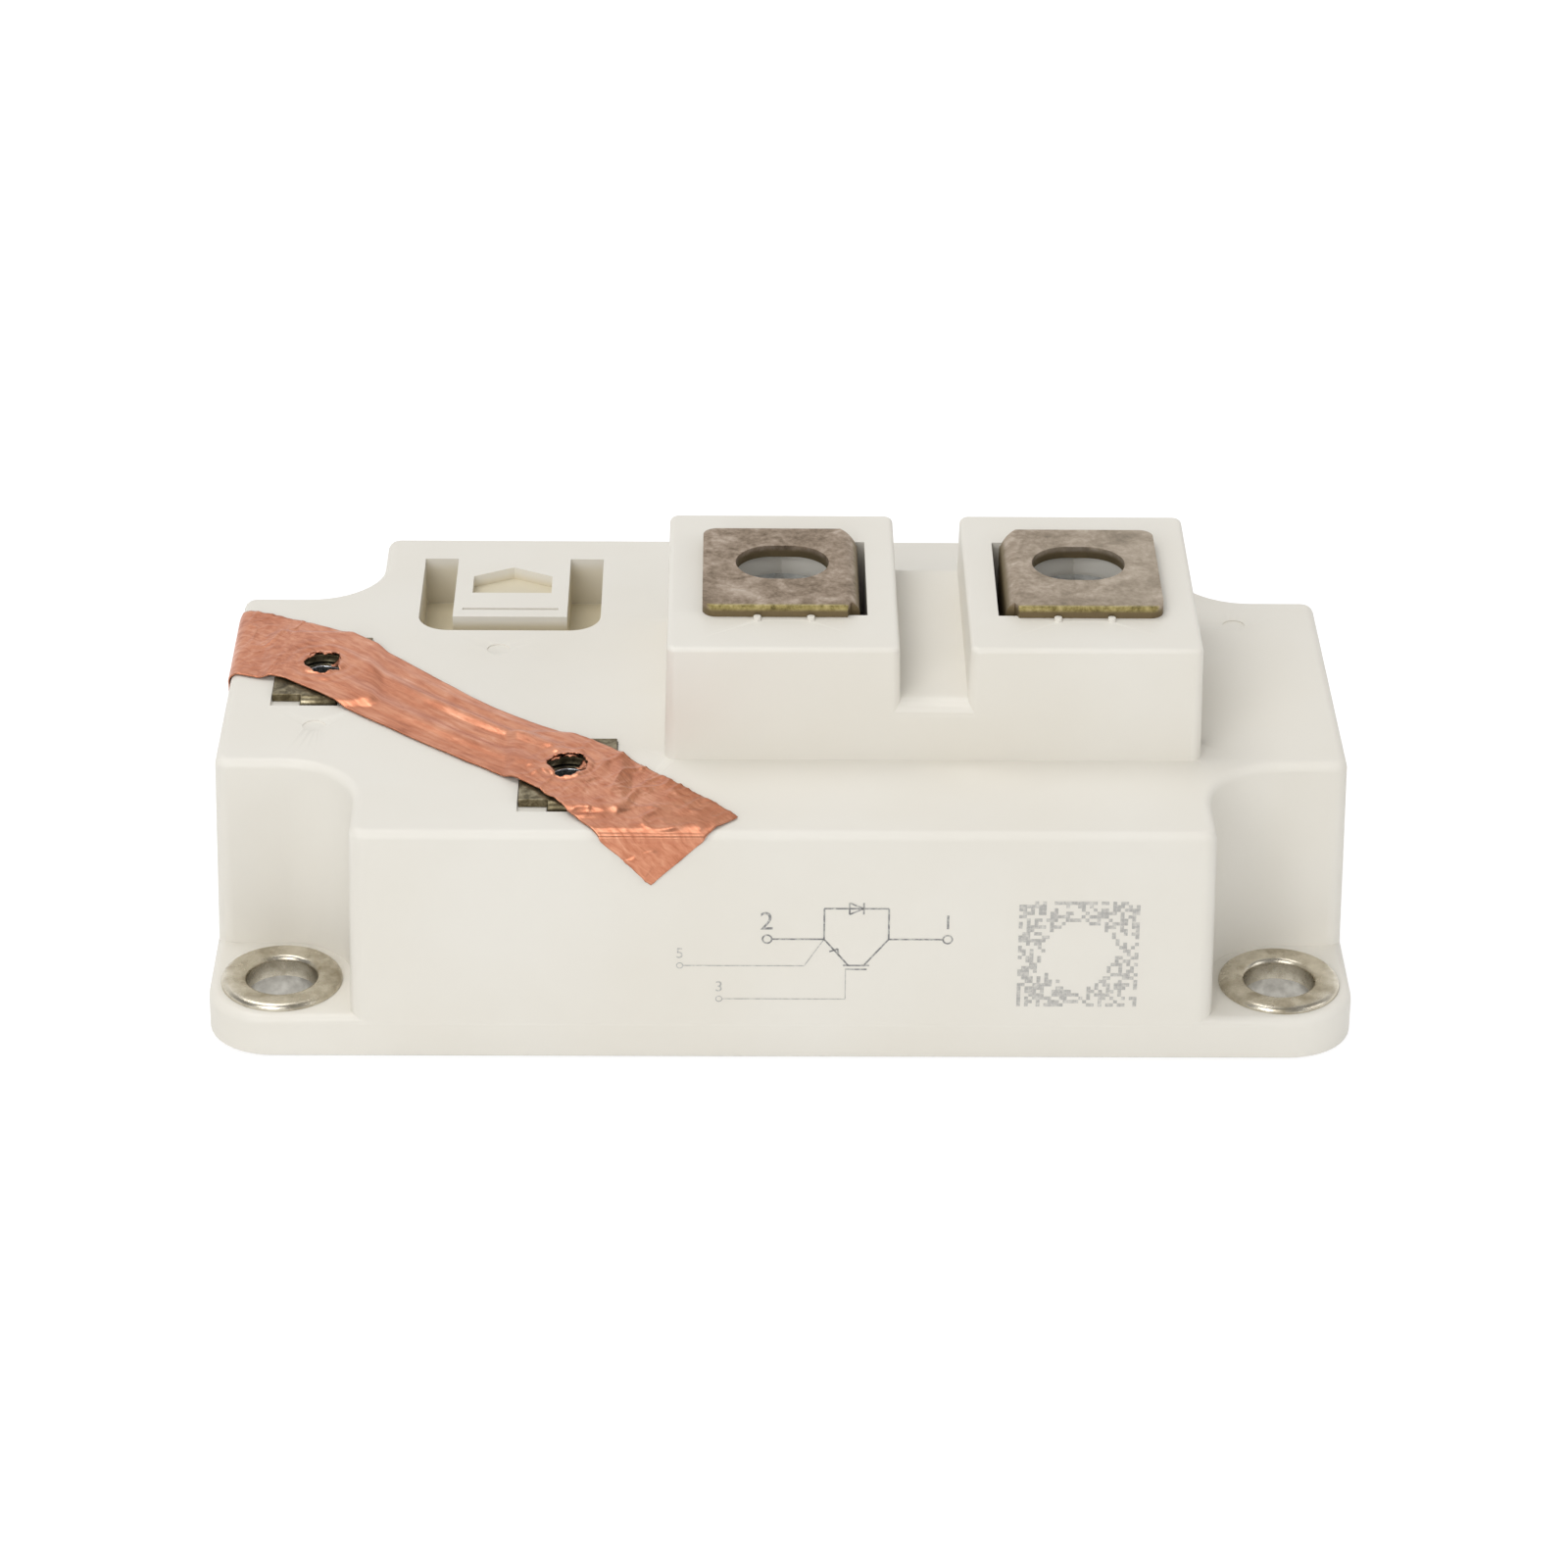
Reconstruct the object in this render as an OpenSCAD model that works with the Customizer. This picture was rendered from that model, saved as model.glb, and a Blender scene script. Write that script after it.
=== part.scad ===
// Single-switch power module: a moulded housing on a copper baseplate, with two
// screw terminals on a raised tower, two small control terminals shorted by a
// copper foil, and a pair of chip-carrying ceramic tiles inside.
// Millimetres. Origin at the middle of the baseplate's underside, +X towards the
// tower's end, +Y towards the back, +Z up.

/* [Housing] */
// Overall length of the housing
length = 106.4; // [104:0.2:116]
// Overall width of the housing
width = 61.4; // [60:0.2:70]
// Height of the body's flat top
body_top = 23.8; // [23:0.1:28]
// Thickness of the side walls
wall = 2.2; // [1.6:0.1:2.6]
// Thickness of the body's roof
roof = 2.4; // [1.8:0.1:3]
// Draft of the walls, in degrees
draft = 1.3; // [0:0.1:2]
// Rounding of the upright outer edges at the foot of the body
edge_radius = 1.8; // [1.6:0.1:2.4]
// Rounding along the top edges
top_fillet = 0.9; // [0.4:0.1:1.1]

/* [Flange and corner notches] */
// Height of the flange's top
flange_top = 4.5; // [4:0.1:6]
// Height of the housing's lower edge, above the baseplate's underside
skirt_bottom = 0.5; // [0.2:0.1:1.2]
// Corner radius of the flange
flange_radius = 6; // [5:0.1:6.5]
// Rounding of the flange's top edge
flange_fillet = 0.9; // [0.4:0.1:1.1]
// Distance between the mounting holes along the length
hole_pitch_x = 93; // [90:0.5:96]
// Distance between the mounting holes across the width
hole_pitch_y = 48; // [46:0.5:50]
// Radius of each notch's inner corner, round the mounting hole's axis
notch_radius = 6.6; // [6.3:0.1:7.2]

/* [Baseplate] */
// Thickness of the copper baseplate
base_thickness = 3; // [2:0.1:3.4]
// Width of the plastic skirt round the baseplate
skirt_wall = 0.75; // [0.5:0.05:1.2]
// Diameter of the mounting holes
mount_bore = 6.5; // [5.5:0.1:7]

/* [Mounting bushes] */
// Outer diameter of the bush's rim
bush_rim = 11.3; // [10:0.1:12]
// Outer diameter of the bush's shank in the flange
bush_shank = 9.6; // [8.5:0.1:9.8]
// Height of the rim above the flange
bush_proud = 0.6; // [0.5:0.1:1]

/* [Terminal tower] */
// Middle of the tower along the length
tower_x = 14; // [8:0.5:16]
// Middle of the tower across the width
tower_y = -1.85; // [-3:0.05:0]
// Depth of the tower across the module
tower_depth = 28.3; // [26:0.1:32]
// Width of each terminal block
block_width = 21.5; // [19:0.1:22]
// Distance between the two main screws
terminal_pitch = 28; // [26:0.5:30]
// Height of the blocks' tops
block_top = 35.3; // [34:0.1:40]
// Height of the floor between the blocks
gap_floor = 29.9; // [27:0.1:31]
// Rounding of the front and back edges of that floor
gap_fillet = 1.7; // [0.6:0.1:2.2]
// Rounding of the blocks' upright edges
block_edge = 0.9; // [0.8:0.1:1.6]
// Rounding of the blocks' top edges
block_fillet = 0.5; // [0.2:0.1:0.7]

/* [Main terminals] */
// Thickness of the terminal strap
strap = 1.2; // [0.8:0.1:1.5]
// Length of the terminal plate across the module
plate_depth = 16.3; // [14.5:0.1:18]
// Reach of the plate from the screw to its free edge
plate_reach = 7.5; // [6.5:0.1:8.5]
// Distance from the screw to the leg's outer face
leg_reach = 7.2; // [7:0.1:7.6]
// Width of the leg
leg_width = 14; // [11:0.5:14.5]
// Position of the main screws across the width
screw_y = -0.5; // [-1.5:0.1:1.5]
// Length of the plate's oblong hole
hole_length = 8.8; // [7.5:0.1:9.4]
// Width of the plate's oblong hole
hole_width = 7; // [6.6:0.1:7.6]
// Width of the main nuts across their flats
nut_flats = 10; // [9:0.1:10.4]
// Height of the main nuts
nut_height = 5; // [4:0.1:5.5]
// Tapping diameter of the main nuts
nut_bore = 5; // [4.8:0.05:5.4]
// Depth of the main nuts below the plate
nut_depth = 2.4; // [1.5:0.1:3]

/* [Control terminals] */
// Sense terminal's screw along the length
sense_x = -43.9; // [-45:0.1:-43]
// Sense terminal's screw across the width
sense_y = 1.5; // [0:0.1:3]
// Gate terminal's screw along the length
gate_x = -19.8; // [-22:0.1:-18.5]
// Gate terminal's screw across the width
gate_y = -18.8; // [-19:0.1:-17]
// Width of each control tab
tab_width = 8.8; // [8:0.1:9.4]
// Reach of the tab behind its screw
tab_back = 5.9; // [5:0.1:6.4]
// Reach of the tab in front of its screw, to the leg's outer face
tab_front = 6.7; // [6:0.1:6.9]
// Thickness of each tab
tab_strip = 0.8; // [0.6:0.1:1]
// Height of each tab's top above the body
tab_proud = 0.4; // [0.2:0.1:0.6]
// Width of the tab's leg
tab_leg = 3.4; // [2.5:0.1:4]
// Width of the control nuts across their flats
small_flats = 7; // [6.4:0.1:7.4]
// Height of the control nuts
small_height = 3.2; // [2.6:0.1:3.6]
// Tapping diameter of the control nuts
small_bore = 3.3; // [3.1:0.05:3.6]
// Diameter of the screw hole in each tab
tab_hole = 4.6; // [4.2:0.1:5]

/* [Recess in the body's top] */
// Middle of the recess along the length
recess_x = -26.5; // [-27.5:0.1:-25.5]
// Front of the recess
recess_front = 9.8; // [9:0.1:11]
// Length of the recess along the module
recess_length = 17.8; // [16:0.1:19]
// Depth of the recess across the module
recess_depth_y = 15.6; // [14:0.1:16]
// How far the recess goes down
recess_deep = 5; // [3:0.1:5.5]
// Length of the island inside the recess
island_length = 11.2; // [9.5:0.1:12]
// Width of the slot in front of the island
island_gap = 2.9; // [2:0.1:4]

/* [Shorting foil] */
// Width of the foil strip
foil_width = 12.2; // [10:0.1:13]
// Thickness of the foil with its adhesive
foil_thickness = 0.15; // [0.1:0.01:0.2]
// Length of the end that hangs over the front edge
foil_overhang = 5.2; // [3:0.1:8]

/* [Ceramic tiles] */
// Length of each ceramic tile along the module
tile_length = 34; // [33:0.1:34.5]
// Width of each ceramic tile across the module
tile_width = 52; // [51:0.1:53]
// Thickness of the copper on both faces of a tile
tile_copper = 0.3; // [0.2:0.05:0.4]
// Thickness of the ceramic
ceramic = 0.6; // [0.4:0.05:1]
// Side of each transistor chip
igbt_side = 8; // [7:0.1:8.2]
// Side of each diode chip
diode_side = 6.6; // [5.5:0.1:7]
// Thickness of the chips
chip_thickness = 0.35; // [0.2:0.05:0.4]
// Diameter of the bond wires
wire = 0.4; // [0.2:0.05:0.5]
// Height of the wires' loops
loop_height = 2.2; // [1.6:0.1:2.6]
// Thickness of the gel above the wires
gel_thickness = 2; // [1:0.1:2.2]

/* [Hidden] */
$fn = 64;

// Small gaps and steps shared by pieces that meet
fit = 0.1;              // loose fit of a piece in its pocket
slot_gap = 0.7;         // open gap beside a strap in its slot
through = 1;            // how far a cutter runs past the face it opens
min_radius = 0.3;       // smallest rounding left inside a moulded corner
body_step = 0.1;        // how far the body's walls stand back from the flange's faces
edge_steps = 5;         // facets in a small rounded edge
notch_steps = 12;       // facets in a notch's inner corner

// Levels of the stack, from the baseplate up
track_bottom = base_thickness + tile_copper + ceramic;
track_top = track_bottom + tile_copper;
chip_top = track_top + chip_thickness;
gel_bottom = chip_top + loop_height + 2 * wire + fit;
gel_top = gel_bottom + gel_thickness;
cavity_top = body_top - roof;

// Notches: their inner corner is drawn round the mounting hole's axis
notch_x = hole_pitch_x / 2 - notch_radius;
notch_y = hole_pitch_y / 2 - notch_radius;

// Terminal screws
emitter_x = tower_x - terminal_pitch / 2;
collector_x = tower_x + terminal_pitch / 2;
plate_y = screw_y - 0.95;
bend = 0.3;             // inner radius of the strap's bend
bend_inner = leg_reach - strap - bend;
nut_seat = block_top - nut_depth - nut_height;
tail_room = 4.9;          // free depth for the screw's end below a main nut
holder_floor = 1.5;     // plastic below that room

// Control terminals
tab_bottom = body_top + tab_proud - tab_strip;
small_seat = tab_bottom - fit - small_height;
small_tail = 4;         // free depth below a control nut
boss_wall = 1.3;        // plastic round the control nut and slot

// Busbar levels inside the housing
foot_width = 12;        // width of the terminals' feet
foot_length = 3.6;      // length of the soldered foot
emitter_bar = gel_top + 0.6;
collector_bar = emitter_bar + strap + 1.6;
bar_width = 5;          // width of the collector bar behind the emitter's leg
bar_y = plate_y + leg_width / 2 + 2;

// Tiles: places are measured from the module's middle along X
tile_gap = 1.5;         // from the middle to each tile
tile_x = tile_gap + tile_length / 2;
copper_margin = 0.8;    // bare ceramic round the copper
track_gap = 0.8;        // bare ceramic between tracks
tile_outer = tile_gap + tile_length;
track_half = tile_width / 2 - copper_margin;
control_width = 1.8;    // width of the gate and sense tracks
gate_in = tile_outer - copper_margin - control_width;
sense_in = gate_in - track_gap - control_width;
emitter_in = tile_gap + copper_margin;
emitter_out = leg_reach + emitter_x + 2;
collector_in = emitter_out + track_gap;
collector_out = sense_in - track_gap;
igbt_x = collector_out - 0.6 - igbt_side / 2;
diode_x = collector_in + 0.6 + diode_side / 2;
row_y = [-19.6, -11.2, 11.2, 19.6];
wires_per_chip = 4;

// ---- shared shapes ----

// Points of an arc from angle a to angle b
function arc(cx, cy, r, a, b, steps) =
    [for (i = [0 : steps]) let (t = a + (b - a) * i / steps) [cx + r * cos(t), cy + r * sin(t)]];

function reversed(p) = [for (i = [len(p) - 1 : -1 : 0]) p[i]];

// A closed ring from its first quarter, mirrored about both axes
function four_quarters(q) = concat(
    q,
    reversed([for (p = q) [-p[0], p[1]]]),
    [for (p = q) [-p[0], -p[1]]],
    reversed([for (p = q) [p[0], -p[1]]]));

// Outline of a rounded rectangle, moved in by inset
function plate_ring(half_x, half_y, radius, inset) =
    let (r = max(radius - inset, min_radius))
    four_quarters(arc(half_x - inset - r, half_y - inset - r, r, 0, 90, 2 * edge_steps));

// Outline of the body with its four corner notches, moved in by inset
function body_ring(inset) =
    let (
        hx = length / 2 - inset,
        hy = width / 2 - inset,
        nx = notch_x - inset,
        ny = notch_y - inset,
        r = max(edge_radius - inset, min_radius),
        rn = notch_radius + inset)
    four_quarters(concat(
        arc(hx - r, ny - r, r, 0, 90, edge_steps),
        arc(nx + rn, ny + rn, rn, 270, 180, notch_steps),
        arc(nx - r, hy - r, r, 0, 90, edge_steps)));

// How far a drafted wall has come in at height z
function draft_at(z) = body_step + max(0, z - flange_top) * tan(draft);

// [inset, z] levels of a rounded top edge that ends at height z
function rounded_edge(z, r, inset) =
    [for (i = [0 : edge_steps]) let (a = 90 * i / edge_steps)
        [inset + r * (1 - cos(a)), z - r + r * sin(a)]];

// Faces that close a notched body ring: strips across both ends and one middle face
function body_caps(n) =
    let (m = n / 4, last = edge_steps + notch_steps + 1)
    concat(
        [for (i = [0 : last - 1]) [i, i + 1, n - 2 - i, n - 1 - i]],
        [for (i = [0 : last - 1]) [2 * m - 2 - i, 2 * m - 1 - i, 2 * m + i, 2 * m + 1 + i]],
        [concat([for (i = [m - 1 : 2 * m - 1 - last]) i], [for (i = [2 * m + last : n - 1 - last]) i],
                [for (i = [last : m - 2]) i])]);

// Solid through closed rings, one at each height; caps lists the faces that close a ring
module loft(rings, heights, caps = []) {
    n = len(rings[0]);
    last = len(rings) - 1;
    points = [for (k = [0 : last]) for (p = rings[k]) [p[0], p[1], heights[k]]];
    sides = [for (k = [0 : last - 1]) for (i = [0 : n - 1])
        [k * n + i, (k + 1) * n + i, (k + 1) * n + (i + 1) % n, k * n + (i + 1) % n]];
    ends = len(caps) > 0 ? caps : [[for (i = [0 : n - 1]) i]];
    polyhedron(points, concat(ends, sides, [for (c = ends) [for (i = reversed(c)) last * n + i]]));
}

// Box from its low corner to its high corner
module span(low, high) {
    translate(low) cube(high - low);
}

module at_mount_holes() {
    for (sx = [-1, 1], sy = [-1, 1])
        translate([sx * hole_pitch_x / 2, sy * hole_pitch_y / 2, 0]) children();
}

// Hexagonal nut with chamfered corners, standing on z = 0
module hex_nut(flats, height, bore) {
    corner = flats / cos(30) / 2;
    cut = (corner - flats / 2) * tan(30) * 2;
    difference() {
        intersection() {
            rotate(30) cylinder(h = height, r = corner, $fn = 6);
            rotate_extrude() polygon([
                [0, 0], [corner - cut, 0], [corner, cut],
                [corner, height - cut], [corner - cut, height], [0, height]]);
        }
        translate([0, 0, -through]) cylinder(h = height + 2 * through, d = bore);
    }
}

// Hexagonal pocket for a nut
module hex_pocket(flats, height) {
    rotate(30) cylinder(h = height, r = (flats / 2 + fit) / cos(30), $fn = 6);
}

// ---- housing ----

// The body's walls stand just inside the flange's outer faces
module body_shape() {
    levels = concat([[body_step, flange_top / 2], [body_step, flange_top]],
                    rounded_edge(body_top, top_fillet, draft_at(body_top - top_fillet)));
    rings = [for (l = levels) body_ring(l[0])];
    loft(rings, [for (l = levels) l[1]], body_caps(len(rings[0])));
}

module flange_shape() {
    levels = concat([[0, skirt_bottom]], rounded_edge(flange_top, flange_fillet, 0));
    loft([for (l = levels) plate_ring(length / 2, width / 2, flange_radius, l[0])],
         [for (l = levels) l[1]]);
}

// Drafted block whose stated half sizes hold at full_z, with a rounded top edge
module drafted_block(half_x, half_y, top, fillet, full_z) {
    bottom = body_top - roof / 2;
    levels = concat([[(bottom - full_z) * tan(draft), bottom]],
                    rounded_edge(top, fillet, (top - fillet - full_z) * tan(draft)));
    loft([for (l = levels) plate_ring(half_x, half_y, block_edge, l[0])],
         [for (l = levels) l[1]]);
}

module tower_shape() {
    full_z = block_top - block_fillet;
    translate([tower_x, tower_y, 0])
        drafted_block((terminal_pitch + block_width) / 2, tower_depth / 2,
                      gap_floor, gap_fillet, full_z);
    for (x = [emitter_x, collector_x])
        translate([x, tower_y, 0])
            drafted_block(block_width / 2, tower_depth / 2, block_top, block_fillet, full_z);
}

// Plan of the room inside the body
module cavity_plan() {
    polygon(body_ring(wall + draft_at(cavity_top)));
}

// Room inside the body: open below the bosses, and round them above that
module body_cavity() {
    boss_bottom = small_seat - small_tail - holder_floor;
    translate([0, 0, base_thickness - through])
        linear_extrude(boss_bottom - base_thickness + through) cavity_plan();
    translate([0, 0, boss_bottom - through])
        linear_extrude(cavity_top - boss_bottom + through) difference() {
            cavity_plan();
            recess_plan(wall);
            translate([sense_x, sense_y]) control_boss_plan();
            translate([gate_x, gate_y]) control_boss_plan();
        }
}

// Hollow of one tower block round its nut holder; the leg's slot is on the +X side
module block_core() {
    inner_x = block_width / 2 - wall;
    inner_y = tower_depth / 2 - wall;
    holder = nut_flats / 2 + fit + wall;
    translate([0, 0, cavity_top - through])
        linear_extrude(block_top - wall - cavity_top + through) difference() {
            translate([-inner_x, tower_y - inner_y]) square([2 * inner_x, 2 * inner_y]);
            translate([-holder, screw_y - holder]) square([holder + inner_x + through, 2 * holder]);
        }
}

// Pocket, screw room and slot of one main terminal; the slot is on the +X side
module terminal_cuts() {
    translate([0, screw_y, nut_seat]) {
        hex_pocket(nut_flats, block_top - nut_seat + through);
        translate([0, 0, -tail_room]) cylinder(h = tail_room + through, d = nut_bore + 1.8);
    }
    translate([0, plate_y, 0])
        span([bend_inner, -leg_width / 2 - slot_gap, cavity_top - through],
             [leg_reach + slot_gap, leg_width / 2 + slot_gap, block_top + through]);
}

// Plan of the boss that holds a control nut and guides the tab's leg
module control_boss_plan() {
    holder = small_flats / 2 + fit + boss_wall;
    front = tab_front + slot_gap + boss_wall;
    translate([-holder, -front]) square([2 * holder, holder + front]);
}

// Seat, nut pocket, screw room and slot of one control terminal
module control_cuts() {
    span([-tab_width / 2 - fit, -tab_front - slot_gap, tab_bottom],
         [tab_width / 2 + fit, tab_back + fit, body_top + through]);
    translate([0, 0, small_seat]) {
        hex_pocket(small_flats, small_height + through);
        translate([0, 0, -small_tail]) cylinder(h = small_tail + through, d = small_bore + 1.4);
    }
    span([-tab_leg / 2 - fit, -tab_front - slot_gap, base_thickness],
         [tab_leg / 2 + fit, -tab_front + tab_strip + fit, body_top + through]);
}

// Plan of the U-shaped recess: rounded front corners, square back
module recess_plan(grow) {
    r = 3;
    half = recess_length / 2 + grow;
    front = recess_front - grow;
    back = recess_front + recess_depth_y + grow;
    polygon(concat(
        arc(recess_x - half + r, front + r, r, 180, 270, 2 * edge_steps),
        arc(recess_x + half - r, front + r, r, 270, 360, 2 * edge_steps),
        [[recess_x + half, back], [recess_x - half, back]]));
}

module recess_cut() {
    half = island_length / 2;
    island_front = recess_front + island_gap;
    back = recess_front + recess_depth_y;
    translate([0, 0, body_top - recess_deep])
        linear_extrude(recess_deep + through)
            difference() {
                recess_plan(0);
                translate([recess_x - half, island_front])
                    square([island_length, back - island_front + through]);
            }
    // groove along the island's front and the gabled pocket behind it
    span([recess_x - half + 0.9, island_front + 1.5, body_top - 0.5],
         [recess_x + half - 0.9, island_front + 1.9, body_top + through]);
    translate([recess_x, island_front + 5.2, body_top - 1.2])
        linear_extrude(1.2 + through)
            polygon([[-3.9, 0], [3.9, 0], [3.9, 3.6], [0, 5.6], [-3.9, 3.6]]);
}

// Shallow round marks left by the mould's ejector pins
module ejector_marks() {
    for (p = [[sense_x, sense_y - 11.4], [recess_x - 0.8, recess_front - 4],
              [length / 2 - 8.8, 11.5], [tower_x + 24.2, -12.2]])
        translate([p[0], p[1], body_top - 0.12]) cylinder(h = 1, r = 1.1);
}

module housing() {
    color([0.93, 0.92, 0.89]) difference() {
        union() {
            body_shape();
            flange_shape();
            tower_shape();
            // two pips in front of each terminal plate
            for (x = [emitter_x, collector_x], dx = [-2.4, 2.6])
                translate([x + dx, plate_y - plate_depth / 2 - 0.5, block_top - 0.1])
                    cylinder(h = 0.45, r = 0.35);
        }
        body_cavity();
        translate([emitter_x, 0, 0]) block_core();
        translate([collector_x, 0, 0]) mirror([1, 0, 0]) block_core();
        // seat of the baseplate
        translate([0, 0, -through])
            linear_extrude(base_thickness + through)
                polygon(plate_ring(length / 2, width / 2, flange_radius, skirt_wall - fit));
        at_mount_holes()
            cylinder(h = flange_top + through, d = bush_shank + fit);
        translate([emitter_x, 0, 0]) terminal_cuts();
        translate([collector_x, 0, 0]) mirror([1, 0, 0]) terminal_cuts();
        translate([sense_x, sense_y, 0]) control_cuts();
        translate([gate_x, gate_y, 0]) control_cuts();
        recess_cut();
        ejector_marks();
    }
}

// ---- baseplate and bushes ----

module baseplate() {
    color([0.78, 0.77, 0.74]) difference() {
        linear_extrude(base_thickness)
            rounded_plate(length / 2 - skirt_wall, width / 2 - skirt_wall,
                          flange_radius - skirt_wall);
        translate([0, 0, -through])
            at_mount_holes() cylinder(h = base_thickness + 2 * through, d = mount_bore);
    }
}

// Rounded rectangle with true arcs
module rounded_plate(half_x, half_y, r) {
    square([2 * half_x, 2 * (half_y - r)], center = true);
    square([2 * (half_x - r), 2 * half_y], center = true);
    for (sx = [-1, 1], sy = [-1, 1])
        translate([sx * (half_x - r), sy * (half_y - r)]) circle(r = r);
}

// Bush pressed into the flange: a plain shank under a rim with a rolled edge
module bush(sx, sy) {
    rim = bush_rim / 2;
    bore = mount_bore / 2;
    chamfer = 0.5;
    roll = bush_proud * 0.9;
    top = flange_top + bush_proud;
    color([0.72, 0.70, 0.64])
        translate([sx * hole_pitch_x / 2, sy * hole_pitch_y / 2, 0])
            rotate_extrude() difference() {
                union() {
                    translate([bore, base_thickness])
                        square([bush_shank / 2 - bore, top - base_thickness]);
                    translate([bore, flange_top]) square([rim - roll - bore, bush_proud]);
                    translate([bore, flange_top]) square([rim - bore, bush_proud - roll]);
                    translate([rim - roll, top - roll]) intersection() {
                        circle(r = roll);
                        square(roll);
                    }
                }
                polygon([[bore - through, top - chamfer - through], [bore, top - chamfer],
                         [bore + chamfer, top], [bore + chamfer, top + through],
                         [bore - through, top + through]]);
            }
}

// ---- main terminals ----

// Plan of the terminal plate over its leg, screw at the origin
module plate_plan() {
    half = plate_depth / 2;
    r = 1.3;
    cut = 1.6;
    translate([0, plate_y - screw_y]) difference() {
        polygon(concat(
            arc(-plate_reach + r, half - r, r, 180, 90, 2 * edge_steps),
            [[leg_reach - cut, half], [leg_reach + through, half - 1.25 * cut - 0.9],
             [leg_reach + through, -leg_width / 2], [leg_reach - 0.8, -leg_width / 2],
             [leg_reach - 1.2, -half]],
            arc(-plate_reach + r, -half + r, r, 270, 180, 2 * edge_steps)));
        translate([0, screw_y - plate_y]) {
            square([hole_length - hole_width, hole_width], center = true);
            for (s = [-1, 1])
                translate([s * (hole_length - hole_width) / 2, 0]) circle(d = hole_width);
        }
    }
}

// Strap seen along Y: plate, bend, leg and soldered foot
module strap_profile() {
    cx = bend_inner;
    cz = block_top - bend;
    polygon(concat(
        [[-plate_reach, block_top + strap]],
        arc(cx, cz, bend + strap, 90, 0, 2 * edge_steps),
        [[leg_reach, track_top], [leg_reach - foot_length, track_top],
         [leg_reach - foot_length, track_top + strap], [leg_reach - strap, track_top + strap]],
        arc(cx, cz, bend, 0, 90, edge_steps),
        [[-plate_reach, block_top]]));
}

// Plate, bend and leg of one terminal, with the screw at the origin
module strap_piece() {
    bend_low = block_top - bend - strap;
    intersection() {
        translate([0, plate_y - screw_y + plate_depth / 2, 0])
            rotate([90, 0, 0]) linear_extrude(plate_depth) strap_profile();
        union() {
            translate([0, 0, bend_low]) linear_extrude(block_top + through) plate_plan();
            translate([0, plate_y - screw_y, 0]) {
                span([-plate_reach, -leg_width / 2, cavity_top],
                     [leg_reach + through, leg_width / 2, block_top]);
                span([-plate_reach, -foot_width / 2, 0],
                     [leg_reach + through, foot_width / 2, cavity_top + through]);
            }
        }
    }
}

// Foot that rises from a track to a bar, with its toe towards -X
module bar_foot(x, y, width_y, bar) {
    span([x, y - width_y / 2, track_top], [x + strap, y + width_y / 2, bar + strap]);
    span([x + strap - foot_length, y - width_y / 2, track_top],
         [x + strap, y + width_y / 2, track_top + strap]);
}

module emitter_terminal() {
    leg = emitter_x + leg_reach;
    color([0.55, 0.49, 0.43]) {
        translate([emitter_x, screw_y, 0]) strap_piece();
        // bar across to the second tile
        span([-leg, plate_y - foot_width / 2, emitter_bar],
             [leg - strap / 2, plate_y + foot_width / 2, emitter_bar + strap]);
        mirror([1, 0, 0]) bar_foot(leg - strap, plate_y, foot_width, emitter_bar);
    }
}

module collector_terminal() {
    leg = collector_x - leg_reach;
    wing = 5;
    color([0.56, 0.50, 0.44]) {
        translate([collector_x, screw_y, 0]) mirror([1, 0, 0]) strap_piece();
        // bar that passes behind the emitter's leg, with a wing at each end
        span([-leg, bar_y, collector_bar], [leg, bar_y + bar_width, collector_bar + strap]);
        for (s = [-1, 1]) scale([1, 1, 1]) {
            low = s > 0 ? leg - wing : -leg;
            span([low, plate_y - foot_width / 2, collector_bar],
                 [low + wing + (s > 0 ? strap / 2 : 0), bar_y + bar_width, collector_bar + strap]);
        }
        translate([-leg, 0, 0]) mirror([1, 0, 0])
            bar_foot(0, plate_y, foot_width, collector_bar);
    }
}

module main_nut(x) {
    color([0.80, 0.81, 0.82])
        translate([x, screw_y, nut_seat]) hex_nut(nut_flats, nut_height, nut_bore);
}

// ---- control terminals ----

// Tab with its bend, screw at the origin; the leg drops at the front edge
module control_tab() {
    top = body_top + tab_proud;
    difference() {
        union() {
            span([-tab_width / 2, -tab_front + tab_strip, tab_bottom],
                 [tab_width / 2, tab_back, top]);
            // bend over the front edge
            translate([0, -tab_front + tab_strip, tab_bottom]) rotate([90, 0, 90])
                translate([0, 0, -tab_leg / 2]) linear_extrude(tab_leg) intersection() {
                    circle(r = tab_strip);
                    translate([-tab_strip, 0]) square(tab_strip);
                }
        }
        translate([0, 0, tab_bottom - through])
            cylinder(h = tab_strip + 2 * through, d = tab_hole);
    }
}

// Leg of a control tab, drawn in X and Z: arm_x is how far its foot lies along X
module control_leg(arm_x, arm_z) {
    half = tab_leg / 2;
    foot = 0.8;
    translate([0, -tab_front + tab_strip, 0]) rotate([90, 0, 0]) linear_extrude(tab_strip) {
        translate([-half, arm_z]) square([tab_leg, tab_bottom - arm_z]);
        translate([-half, arm_z]) square([arm_x + half + foot, 3]);
        translate([arm_x - foot, track_top]) square([2 * foot, arm_z - track_top + 1]);
    }
}

module gate_terminal() {
    color([0.48, 0.42, 0.30]) translate([gate_x, gate_y, 0]) {
        control_tab();
        control_leg(0, collector_bar);
    }
}

module sense_terminal() {
    foot_x = -(sense_in + control_width / 2);
    color([0.50, 0.44, 0.32]) translate([sense_x, sense_y, 0]) {
        control_tab();
        control_leg(foot_x - sense_x, emitter_bar);
    }
}

module control_nut(x, y) {
    color([0.80, 0.81, 0.82])
        translate([x, y, small_seat]) hex_nut(small_flats, small_height, small_bore);
}

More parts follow.
